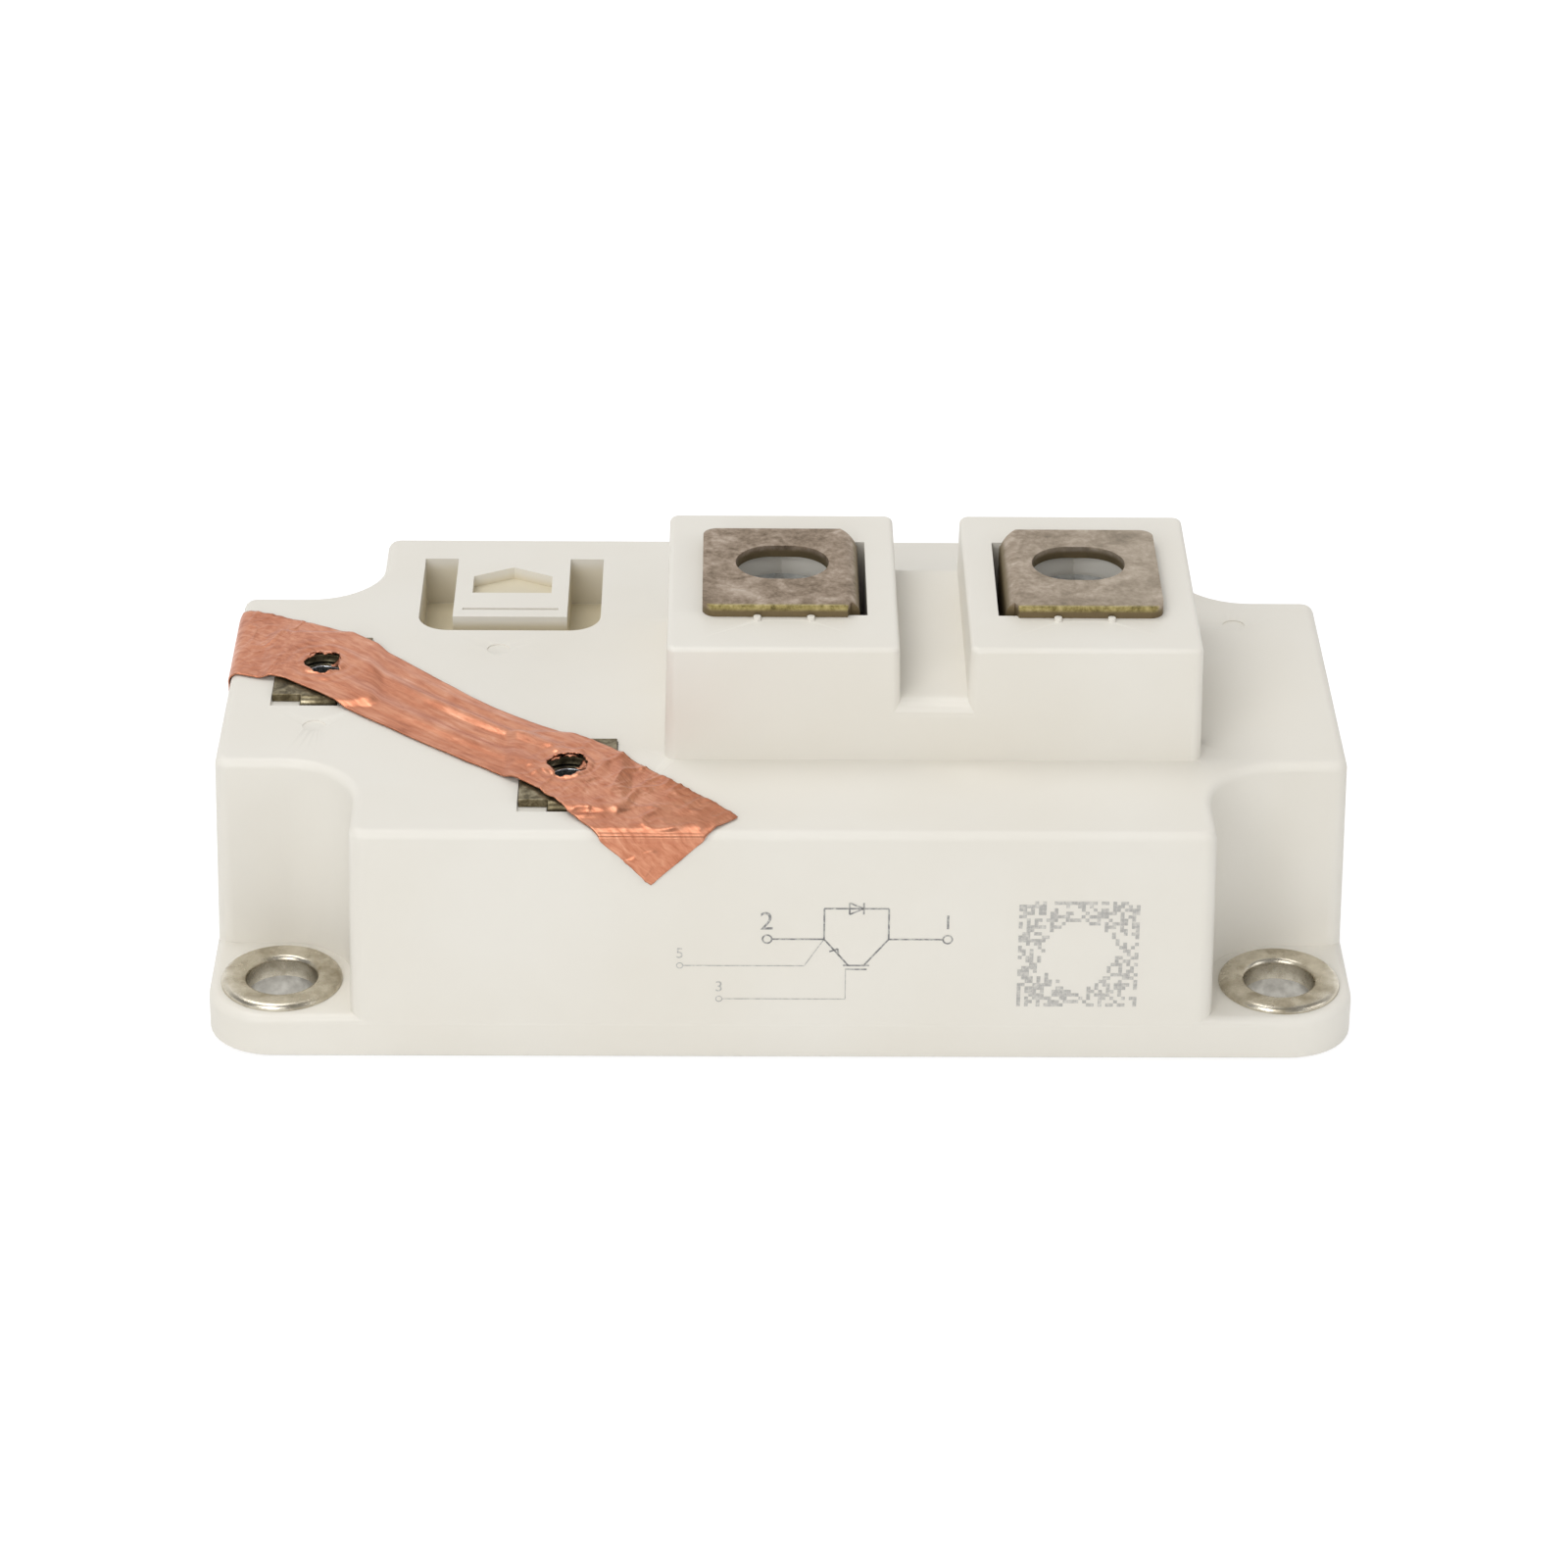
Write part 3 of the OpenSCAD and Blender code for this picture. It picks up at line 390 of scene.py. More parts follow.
def makePlastic(settings, recess):
    ivory = settings["ivory"]
    material, tree, shader = newMaterial("ivoryMoulding", ivory, 0.0, settings["roughness"])
    place = objectPlace(tree)
    cloud = addNoise(tree, place, 18, 3, 0.5)
    colour = addRamp(tree, cloud, [(0.35, settings["ivoryLow"]), (0.7, ivory)])
    x, y, z = splitPlace(tree)
    soft = recess["soft"] * mm
    inside = addRange(tree, z, (recess["topZ"] - recess["fadeStart"]) * mm,
                      (recess["topZ"] - recess["fadeEnd"]) * mm)
    for value, low, high in ((x, recess["lowX"], recess["highX"]),
                             (y, recess["frontY"], recess["backY"])):
        rise = addRange(tree, value, low * mm - soft, low * mm + soft)
        fall = addRange(tree, value, high * mm - soft, high * mm + soft, 1.0, 0.0)
        inside = addMath(tree, "MULTIPLY", inside, addMath(tree, "MULTIPLY", rise, fall))
    colour = addBlend(tree, inside, colour, settings["tan"])
    tree.links.new(colour, shader.inputs["Base Color"])
    fine = addNoise(tree, place, settings["grain"], 5, 0.65)
    wave = addNoise(tree, place, 7, 2, 0.5)
    tree.links.new(addRange(tree, wave, 0.3, 0.7, 0.42, 0.52, "LINEAR"), shader.inputs["Roughness"])
    first = addBump(tree, shader, fine, 0.012, 0.7)
    addBump(tree, shader, wave, 0.05, 0.5, first)
    return material


plastic = makePlastic(plasticSettings, recessSettings)
softEdges("housing", "mouldedHousing", plasticSettings["edge"], plastic, "housing_plastic")
print("housing ready")


bushSettings = {
    "bore": 3.25,
    "shank": 4.8,
    "rimFoot": 4.5,
    "chamfer": 0.5,
    "roll": 0.54,           # radius of the rim's rolled edge
    "rollSteps": 8,
    "chamferSteps": 4,
    "turns": 96,
}


def makeNickel():
    material, tree, shader = newMaterial("turnedNickel", (0.62, 0.57, 0.47), 1.0, 0.26)
    rings = addUvNoise(tree, (3, 260, 1), 1, 4)
    place = objectPlace(tree)
    stain = addNoise(tree, place, 2.2, 5, 0.6)
    colour = addRamp(tree, stain, [(0.3, (0.36, 0.31, 0.22)), (0.5, (0.58, 0.53, 0.43)),
                                   (0.7, (0.74, 0.69, 0.58))])
    tree.links.new(colour, shader.inputs["Base Color"])
    tree.links.new(addRange(tree, stain, 0.3, 0.7, 0.34, 0.2, "LINEAR"), shader.inputs["Roughness"])
    addBump(tree, shader, rings, 0.02, 0.6)
    return material


# closed mesh turned round an upright axis, with a UV map round and along it
def turnedMesh(name, centre, profile, turns):
    work = bmesh.new()
    uvLayer = work.loops.layers.uv.new("turn")
    count = len(profile)
    lengths = [0.0]
    for k in range(count):
        a, b = profile[k], profile[(k + 1) % count]
        lengths.append(lengths[-1] + math.hypot(b[0] - a[0], b[1] - a[1]))
    total = lengths[-1]
    rings = []
    for i in range(turns):
        angle = 2 * math.pi * i / turns
        ring = []
        for r, z in profile:
            ring.append(work.verts.new((centre.x + r * mm * math.cos(angle),
                                        centre.y + r * mm * math.sin(angle), z * mm)))
        rings.append(ring)
    for i in range(turns):
        here, there = rings[i], rings[(i + 1) % turns]
        for k in range(count):
            n = (k + 1) % count
            face = work.faces.new((here[k], there[k], there[n], here[n]))
            face.smooth = True
            spots = ((i, k), (i + 1, k), (i + 1, k + 1), (i, k + 1))
            for loop, (u, v) in zip(face.loops, spots):
                loop[uvLayer].uv = (u / turns, lengths[v] / total)
    bmesh.ops.recalc_face_normals(work, faces=work.faces)
    mesh = bpy.data.meshes.new(name)
    work.to_mesh(mesh)
    work.free()
    mesh.set_sharp_from_angle(angle=math.radians(34))
    return mesh


def bushProfile(settings, low, high, rim):
    bore, chamfer, roll, foot = (settings[k] for k in ("bore", "chamfer", "roll", "rimFoot"))
    shank = settings["shank"]
    outer = []
    for i in range(settings["rollSteps"] + 1):
        angle = math.radians(90 * i / settings["rollSteps"])
        outer.append((rim - roll + roll * math.sin(angle), high - roll + roll * math.cos(angle)))
    inner = []
    for i in range(settings["chamferSteps"] + 1):
        angle = math.radians(90 * i / settings["chamferSteps"])
        inner.append((bore + chamfer * (1 - math.cos(angle)),
                      high - chamfer + chamfer * math.sin(angle)))
    under = [(rim, foot + 0.02), (shank + 0.03, foot + 0.01), (shank, foot - 0.02), (shank, low)]
    return [(bore, low)] + inner + outer + under


nickel = makeNickel()
for side in ("front_left", "front_right", "rear_left", "rear_right"):
    node = "bush_" + side
    low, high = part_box(node)
    profile = bushProfile(bushSettings, low[2] / mm, high[2] / mm, (high[0] - low[0]) / 2 / mm)
    words = side.split("_")
    name = "bush" + words[0].capitalize() + words[1].capitalize()
    putPiece(name, turnedMesh(name, centreOf(node), profile, bushSettings["turns"]), nickel,
             "bush_metal", node)
print("bushes ready")


terminalSettings = {
    "edge": 0.14,
    "tabEdge": 0.08,
    "nutEdge": 0.12,
    "frontY": -9.6,         # front edge of the plates, with its bare brass line
    "topZ": 36.5,
}


def makeTarnish(settings):
    material, tree, shader = newMaterial("tarnishedPlating", (0.2, 0.16, 0.12), 0.75, 0.45)
    place = objectPlace(tree)
    blotch = addNoise(tree, place, 3.4, 6, 0.62, 0.6)
    speck = addNoise(tree, place, 0.7, 5, 0.7)
    mixed = addMath(tree, "ADD", addMath(tree, "MULTIPLY", blotch, 0.62),
                    addMath(tree, "MULTIPLY", speck, 0.38))
    colour = addRamp(tree, mixed, [(0.34, (0.14, 0.10, 0.065)), (0.45, (0.26, 0.195, 0.135)),
                                   (0.53, (0.36, 0.28, 0.21)), (0.6, (0.46, 0.37, 0.29)),
                                   (0.72, (0.58, 0.52, 0.44))])
    x, y, z = splitPlace(tree)
    bright = addRange(tree, x, 10 * mm, 34 * mm, 0.0, 0.35, "LINEAR")
    colour = addBlend(tree, bright, colour, (0.5, 0.45, 0.36))
    wavy = addMath(tree, "ADD", y, addMath(tree, "MULTIPLY", speck, 0.5 * mm))
    front = addRange(tree, wavy, (settings["frontY"] + 0.75) * mm, (settings["frontY"] + 0.3) * mm)
    brass = addRamp(tree, speck, [(0.3, (0.13, 0.10, 0.03)), (0.5, (0.40, 0.33, 0.13)),
                                  (0.7, (0.62, 0.52, 0.26))])
    colour = addBlend(tree, front, colour, brass)
    # painted shade: below the plates' top face, on their edges and the legs down into the slots, the
    # colour turns dark brown
    low = addRange(tree, z, (settings["topZ"] - 0.25) * mm, (settings["topZ"] - 0.7) * mm)
    colour = addBlend(tree, low, colour, (0.20, 0.15, 0.08))
    tree.links.new(colour, shader.inputs["Base Color"])
    tree.links.new(addRange(tree, mixed, 0.35, 0.7, 0.58, 0.34, "LINEAR"), shader.inputs["Roughness"])
    addBump(tree, shader, mixed, 0.06, 0.6)
    return material


def makeZinc():
    material, tree, shader = newMaterial("brightZinc", (0.72, 0.75, 0.78), 1.0, 0.2)
    place = objectPlace(tree)
    cloud = addNoise(tree, place, 1.1, 4, 0.6)
    colour = addRamp(tree, cloud, [(0.35, (0.55, 0.58, 0.62)), (0.65, (0.80, 0.83, 0.86))])
    tree.links.new(colour, shader.inputs["Base Color"])
    tree.links.new(addRange(tree, cloud, 0.3, 0.7, 0.3, 0.16, "LINEAR"), shader.inputs["Roughness"])
    addBump(tree, shader, cloud, 0.03, 0.5)
    return material


def makeBronze():
    material, tree, shader = newMaterial("dullBronze", (0.14, 0.11, 0.05), 0.8, 0.4)
    place = objectPlace(tree)
    blotch = addNoise(tree, place, 1.6, 6, 0.65, 0.4)
    colour = addRamp(tree, blotch, [(0.32, (0.035, 0.028, 0.014)), (0.47, (0.12, 0.095, 0.05)),
                                    (0.58, (0.24, 0.20, 0.12)), (0.7, (0.40, 0.35, 0.24))])
    tree.links.new(colour, shader.inputs["Base Color"])
    tree.links.new(addRange(tree, blotch, 0.3, 0.7, 0.5, 0.28, "LINEAR"), shader.inputs["Roughness"])
    addBump(tree, shader, blotch, 0.05, 0.6)
    return material


tarnish = makeTarnish(terminalSettings)
zinc = makeZinc()
bronze = makeBronze()
softEdges("emitter_terminal", "emitterStrap", terminalSettings["edge"], tarnish, "terminal_metal")
softEdges("collector_terminal", "collectorStrap", terminalSettings["edge"], tarnish, "terminal_metal")
softEdges("gate_terminal", "gateTab", terminalSettings["tabEdge"], bronze, "control_bronze")
softEdges("sense_terminal", "senseTab", terminalSettings["tabEdge"], bronze, "control_bronze")
for node in ("emitter_nut", "collector_nut", "gate_nut", "sense_nut"):
    softEdges(node, node.split("_")[0] + "Nut", terminalSettings["nutEdge"], zinc, "nut_zinc")
print("terminals ready")


foilSettings = {
    "width": 12.2,
    "overhang": 5.2,
    "thickness": 0.12,
    "clear": 0.14,          # between the foil and the plastic
    "tabLift": 0.4,
    "rampStart": 0.4,       # distance from a tab at which the foil starts to fall
    "ramp": 1.3,
    "draft": 1.3,
    "bodyTop": 23.8,
    "flangeTop": 4.5,
    "bodyStep": 0.1,
    "topFillet": 0.9,
    "tabHalf": 4.4,
    "tabBack": 5.9,
    "tabFront": 6.7,
    "along": 420,
    "across": 84,
    "start": 0.05,
    "end": 5.75,
    "foldLift": 0.36,       # the pinched fold along the front edge stands out this much
    "foldAt": 1.0,
    "foldShare": 0.24,
    "calmShare": 1.0,       # no wrinkles this near the fold
    "leftLift": 0.2,        # most that it stands off the left wall
    "frontLift": 0.75,      # most that it stands off the front wall
}
# long ridges between the tabs, at a share of the half width
ridgeSettings = [
    {"height": 0.5, "at": 0.3, "share": 0.17, "sway": 1},
    {"height": 0.35, "at": -0.42, "share": 0.2, "sway": 1},
    {"height": 0.14, "at": 0.02, "share": 0.12, "sway": -1},
    {"height": 0.16, "at": 0.72, "share": 0.12, "sway": 1},
]
wrinkleSettings = {
    "sway": 0.10,
    "fine": 0.07,
    "fineGrain": 2.2,
    "coarse": 0.2,
    "coarseGrain": 4.4,
    "stripes": 0.035,
    "stripeGrain": 2.1,
    "startShare": 0.7,      # wrinkles at the left end against those at the right
    "swirl": 0.09,          # waves round the holes
    "swirlAt": 3.1,
    "swirlShare": 1.5,
    "rim": 0.16,            # raised rim of the holes
    "rimAt": 2.0,
    "rimShare": 0.35,
    "ragged": 0.12,         # unevenness of the long edges
}
housingSize = sizeOf("housing") / mm
senseAt = centreOf("sense_nut") / mm
gateAt = centreOf("gate_nut") / mm


# how far the drafted wall has come in at a height
def draftAt(z):
    lean = math.tan(math.radians(foilSettings["draft"]))
    return foilSettings["bodyStep"] + max(0, z - foilSettings["flangeTop"]) * lean


# middle line over both control screws, with a point more at each end
def foilRoute():
    halfLength, halfWidth = housingSize.x / 2, housingSize.y / 2
    drop = halfWidth - draftAt(foilSettings["bodyTop"]) + foilSettings["overhang"] * 0.55
    turnX, turnY = gateAt.x + 6.6, gateAt.y - 7.0
    return [
        (-halfLength - 5.6, senseAt.y + 7.9), (-halfLength - 1.8, senseAt.y + 6.4),
        (senseAt.x - 5.3, senseAt.y + 4.0), (senseAt.x + 0.2, senseAt.y + 1.1),
        ((senseAt.x + gateAt.x) / 2 + 0.9, (senseAt.y + gateAt.y) / 2 - 0.9),
        (gateAt.x - 0.2, gateAt.y + 0.5), (turnX, turnY),
        (turnX + (drop + turnY) * 0.95, -drop),
        (turnX + (drop + turnY) * 1.9, -2 * drop - turnY),
    ]


route = [Vector(p) for p in foilRoute()]
pucker = [1, 1, 1, 0.91, 0.77, 0.83, 0.92, 0.88, 0.88]     # share of the width at each point


def spline(a, b, c, d, u):
    return (2 * b + (c - a) * u + (2 * a - 5 * b + 4 * c - d) * u * u
            + (3 * b - a - 3 * c + d) * u * u * u) / 2


def alongList(values, s):
    i = min(int(s), len(values) - 4)
    return spline(values[i], values[i + 1], values[i + 2], values[i + 3], s - i)


def smoothStep(low, high, value):
    t = min(max((value - low) / (high - low), 0), 1)
    return t * t * (3 - 2 * t)


def tabDistance(p, at):
    beside = abs(p.x - at.x) - foilSettings["tabHalf"]
    behind = p.y - at.y - foilSettings["tabBack"]
    before = at.y - foilSettings["tabFront"] - p.y
    return math.hypot(max(beside, 0), max(behind, before, 0))


def ridge(t, centre, share):
    return math.exp(-((t - centre) / share) ** 2)


def crease(x, y, grain, seed):
    return 1 - abs(noise.noise(Vector((x / grain, y / grain, seed)))) * 2


# height of the foil over the plastic; calm takes the wrinkles away
def foilHeight(p, s, t, calm):
    w = wrinkleSettings
    start = foilSettings["rampStart"]
    end = start + foilSettings["ramp"]
    onTab = max(1 - smoothStep(start, end, tabDistance(p, senseAt)),
                1 - smoothStep(start, end, tabDistance(p, gateAt)))
    between = max(0, math.sin(min(max((s - 1.9) / 2.3, 0), 1) * math.pi))
    wander = w["sway"] * noise.noise(Vector((s * 1.6, 3.1, 0.5)))
    long = sum(r["height"] * ridge(t, r["at"] + r["sway"] * wander, r["share"]) for r in ridgeSettings)
    # wrinkles: fine ones by the gate's hole and at the end, along the strip elsewhere
    nearEnd = smoothStep(3.4, 4.3, s)
    nearStart = 1 - smoothStep(0.9, 1.7, s)
    fine = w["fine"] * max(0, crease(s * 16, t * 6, w["fineGrain"], 2.3)) ** 4
    coarse = w["coarse"] * max(0, crease(s * 16, t * 6, w["coarseGrain"], 7.7)) ** 4
    stripes = w["stripes"] * max(0, crease(s * 3.2, t * 6.1, w["stripeGrain"], 4.9)) ** 3
    ring = 0.0
    for at in (senseAt, gateAt):
        away = math.hypot(p.x - at.x, p.y - at.y)
        angle = math.atan2(p.y - at.y, p.x - at.x)
        drift = 2.4 * noise.noise(Vector((angle * 1.3, at.x, 1.7)))
        swirl = 0.5 + 0.5 * math.sin(away * 4.4 + drift)
        ring += w["swirl"] * swirl * ridge(away, w["swirlAt"], w["swirlShare"])
        ring += w["rim"] * ridge(away, w["rimAt"], w["rimShare"])
    return (foilSettings["clear"] + foilSettings["tabLift"] * onTab + between * long
            + calm * (nearEnd * (fine + coarse) + nearStart * w["startShare"] * (fine + coarse)
                      + (1 - nearEnd) * stripes) + ring)


# carries a flat distance past an edge round the rounded edge and down the wall
def wrap(u, h):
    turn = math.radians(90 - foilSettings["draft"])
    fillet = foilSettings["topFillet"]
    bendLength = fillet * turn
    r = fillet + h
    if u <= 0:
        return u, h
    if u < bendLength:
        return r * math.sin(u / fillet), r * math.cos(u / fillet) - fillet
    return (r * math.sin(turn) + (u - bendLength) * math.cos(turn),
            r * math.cos(turn) - fillet - (u - bendLength) * math.sin(turn))


def flatFoil(s, t):
    ahead = alongList(route, s + 0.02) - alongList(route, s - 0.02)
    side = Vector((-ahead.y, ahead.x)) / ahead.length
    rough = wrinkleSettings["ragged"] * noise.noise(Vector((s * 5.5, t * 0.6, 9.1)))
    halfWidth = foilSettings["width"] / 2 * alongList(pucker, s) + rough * abs(t) ** 6
    return alongList(route, s) + side * t * halfWidth


def foilPoint(p, s, t):
    top = foilSettings["bodyTop"]
    topIn = draftAt(top - foilSettings["topFillet"]) + foilSettings["topFillet"]
    overX = -p.x - (housingSize.x / 2 - topIn)
    overY = -p.y - (housingSize.y / 2 - topIn)
    calm = 1 - ridge(max(overX, overY), foilSettings["foldAt"], foilSettings["calmShare"])
    h = foilHeight(p, s, t, calm)
    h += foilSettings["foldLift"] * ridge(overY, foilSettings["foldAt"], foilSettings["foldShare"])
    if overX > 0:
        out, rise = wrap(overX, min(h, foilSettings["leftLift"]))
        return Vector((-(housingSize.x / 2 - topIn) - out, p.y, top + rise))
    if overY > 0:
        # the flap stands a little off the wall and its fold is pinched
        out, rise = wrap(overY, min(h, foilSettings["frontLift"]))
        return Vector((p.x, -(housingSize.y / 2 - topIn) - out, top + rise))
    return Vector((p.x, p.y, top + h))


holeSettings = {
    "sense": {"at": senseAt, "x": 1.75, "y": 2.2, "seed": 1.3},
    "gate": {"at": gateAt, "x": 2.0, "y": 1.9, "seed": 5.9},
}
# torn scraps round a hole: direction and half width in degrees, share of the hole, rise
scrapSettings = [
    {"turn": 20, "half": 26, "reach": 0.62, "rise": -0.5},
    {"turn": 128, "half": 20, "reach": 0.3, "rise": 0.1},
    {"turn": 196, "half": 16, "reach": 0.28, "rise": -0.2},
    {"turn": 85, "half": 22, "reach": 0.34, "rise": 0.22},
]


def holeRadius(settings, angle):
    base = 1 / math.hypot(math.cos(angle) / settings["x"], math.sin(angle) / settings["y"])
    ragged = noise.noise(Vector((math.cos(angle) * 1.6, math.sin(angle) * 1.6, settings["seed"])))
    nick = noise.noise(Vector((math.cos(angle) * 5, math.sin(angle) * 5, settings["seed"] + 4)))
    return base * (1 + 0.3 * ragged + 0.12 * nick)


# small torn scraps that hang from a hole's rim
def addScraps(hole, points, faces, flat):
    rimTop = foilSettings["bodyTop"] + foilSettings["clear"] + foilSettings["tabLift"] + 0.1
    rows, columns = 5, 6
    for scrap in scrapSettings:
        first = len(points)
        for i in range(rows + 1):
            share = i / rows
            narrow = 1 - 0.85 * share
            for j in range(columns + 1):
                angle = math.radians(scrap["turn"] + scrap["half"] * (2 * j / columns - 1) * narrow)
                radius = holeRadius(hole, angle) * (1.04 - scrap["reach"] * share)
                lift = scrap["rise"] * math.sin(share * 2.2) - 0.05 * (1 - share)
                at = Vector((hole["at"].x + radius * math.cos(angle),
                             hole["at"].y + radius * math.sin(angle), rimTop + lift))
                points.append(at * mm)
                flat.append((at, share, j / columns))
        for i in range(rows):
            for j in range(columns):
                a = first + i * (columns + 1) + j
                faces.append((a, a + columns + 1, a + columns + 2, a + 1))


def makeFoilMesh(settings):
    nAlong, nAcross = settings["along"], settings["across"]
    flat, inside = [], []
    for i in range(nAlong + 1):
        s = settings["start"] + (settings["end"] - settings["start"]) * i / nAlong
        for j in range(nAcross + 1):
            t = 2 * j / nAcross - 1
            p = flatFoil(s, t)
            hidden = False
            for hole in holeSettings.values():
                gap = Vector((p.x - hole["at"].x, p.y - hole["at"].y))
                reach = holeRadius(hole, math.atan2(gap.y, gap.x))
                if gap.length < reach:
                    hidden = True
                    if gap.length > 0.01:
                        gap = gap.normalized() * reach
                    p = Vector((hole["at"].x + gap.x, hole["at"].y + gap.y))
            flat.append((p, s, t))
            inside.append(hidden)
    points = [foilPoint(p, s, t) * mm for p, s, t in flat]
    faces = []
    for i in range(nAlong):
        for j in range(nAcross):
            a = i * (nAcross + 1) + j
            corners = (a, a + 1, a + nAcross + 2, a + nAcross + 1)
            if not all(inside[c] for c in corners):
                faces.append(corners)
    for hole in holeSettings.values():
        addScraps(hole, points, faces, flat)
    mesh = bpy.data.meshes.new("foil")
    mesh.from_pydata(points, [], faces)
    uvLayer = mesh.uv_layers.new(name="strip")
    for loop in mesh.loops:
        _, s, t = flat[loop.vertex_index]
        uvLayer.data[loop.index].uv = (s * 16, t * 6)     # about one millimetre each
    work = bmesh.new()
    work.from_mesh(mesh)
    bmesh.ops.delete(work, geom=[v for v in work.verts if not v.link_faces], context="VERTS")
    bmesh.ops.recalc_face_normals(work, faces=work.faces)
    upward = sum(f.normal.z for f in work.faces)
    if upward < 0:
        bmesh.ops.reverse_faces(work, faces=work.faces)
    work.to_mesh(mesh)
    work.free()
    mesh.shade_smooth()
    return mesh


def makeCopperFoil():
    material, tree, shader = newMaterial("creasedCopper", (0.62, 0.27, 0.16), 1.0, 0.34)
    # partly the copper's own uneven tone, partly painted shade: the streak noise darkens the colour
    # where its bump sinks into creases, standing in for darker reflections
    streak = addUvNoise(tree, (0.45, 2.2, 1), 0.9, 6, 0.62, 0.5)
    place = objectPlace(tree)
    patch = addNoise(tree, place, 4.5, 4, 0.55)
    mixed = addMath(tree, "ADD", addMath(tree, "MULTIPLY", streak, 0.6),
                    addMath(tree, "MULTIPLY", patch, 0.4))
    colour = addRamp(tree, mixed, [(0.32, (0.42, 0.155, 0.085)), (0.46, (0.56, 0.225, 0.13)),
                                   (0.58, (0.67, 0.31, 0.19)), (0.72, (0.78, 0.44, 0.31))])
    tree.links.new(colour, shader.inputs["Base Color"])
    tree.links.new(addRange(tree, mixed, 0.35, 0.7, 0.42, 0.26, "LINEAR"), shader.inputs["Roughness"])
    fine = addNoise(tree, place, 0.5, 5, 0.6)
    first = addBump(tree, shader, streak, 0.04, 0.35)
    addBump(tree, shader, fine, 0.012, 0.4, first)
    return material


copperFoil = makeCopperFoil()
foilHolder = bpy.data.objects.new("foilWork", makeFoilMesh(foilSettings))
scene.collection.objects.link(foilHolder)
thickness = foilHolder.modifiers.new("thickness", "SOLIDIFY")
thickness.thickness = foilSettings["thickness"] * mm
thickness.offset = 1
putPiece("shortingFoil", bakedMesh(foilHolder), copperFoil, "foil_copper", "shorting_foil")
print("foil ready")


printSettings = {
    "proud": 0.02,          # how far the ink stands before the wall
    "line": 0.16,
    "thin": 0.10,
    "ring": 0.42,
    "smallRing": 0.28,
    "ringSteps": 28,
    "ink": (0.21, 0.21, 0.21),
    "faint": (0.42, 0.41, 0.39),
}


# place on the drafted front wall
def facePoint(x, z):
    y = -(housingSize.y / 2 - draftAt(z)) - printSettings["proud"]
    return Vector((x, y, z)) * mm


def makeInk(name, dark):
    material, tree, shader = newMaterial(name, dark, 0.0, 0.6)
    place = objectPlace(tree)
    worn = addNoise(tree, place, 0.5, 3, 0.7)
    pale = tuple(0.35 * c + 0.65 * p for c, p in zip(dark, plasticSettings["ivory"]))
    colour = addRamp(tree, worn, [(0.42, dark), (0.66, pale)])
    tree.links.new(colour, shader.inputs["Base Color"])
    return material


def addStroke(work, a, b, width):
    start, end = Vector(a), Vector(b)
    side = (end - start).normalized()
    side = Vector((-side.y, side.x)) * width / 2
    corners = (start - side, end - side, end + side, start + side)
    work.faces.new([work.verts.new(facePoint(c.x, c.y)) for c in corners])


def addRing(work, x, z, radius, width):
    steps = printSettings["ringSteps"]
    outer, inner = [], []
    for i in range(steps):
        angle = 2 * math.pi * i / steps
        for ring, r in ((outer, radius + width / 2), (inner, radius - width / 2)):
            ring.append(work.verts.new(facePoint(x + r * math.cos(angle), z + r * math.sin(angle))))
    for i in range(steps):
        n = (i + 1) % steps
        work.faces.new((inner[i], outer[i], outer[n], inner[n]))


def finishPrint(work, name, material):
    bmesh.ops.recalc_face_normals(work, faces=work.faces)
    turned = [f for f in work.faces if f.normal.y > 0]
    bmesh.ops.reverse_faces(work, faces=turned)
    mesh = bpy.data.meshes.new(name)
    work.to_mesh(mesh)
    work.free()
    putPiece(name, mesh, material, "housing_plastic")


circuitSettings = {
    "mainZ": 12.9,
    "diodeZ": 16.1,
    "leftX": 3.8,
    "rightX": 9.7,
    "gateZ": 9.8,
    "emitterX": -1.4,
    "collectorX": 15.1,
    "senseX": -9.4,
    "senseZ": 10.1,
    "senseTurnX": 2.0,
    "gateX": -5.8,
    "gateCircleZ": 6.6,
    "diodeHalf": 0.65,
    "diodeRise": 0.6,
}


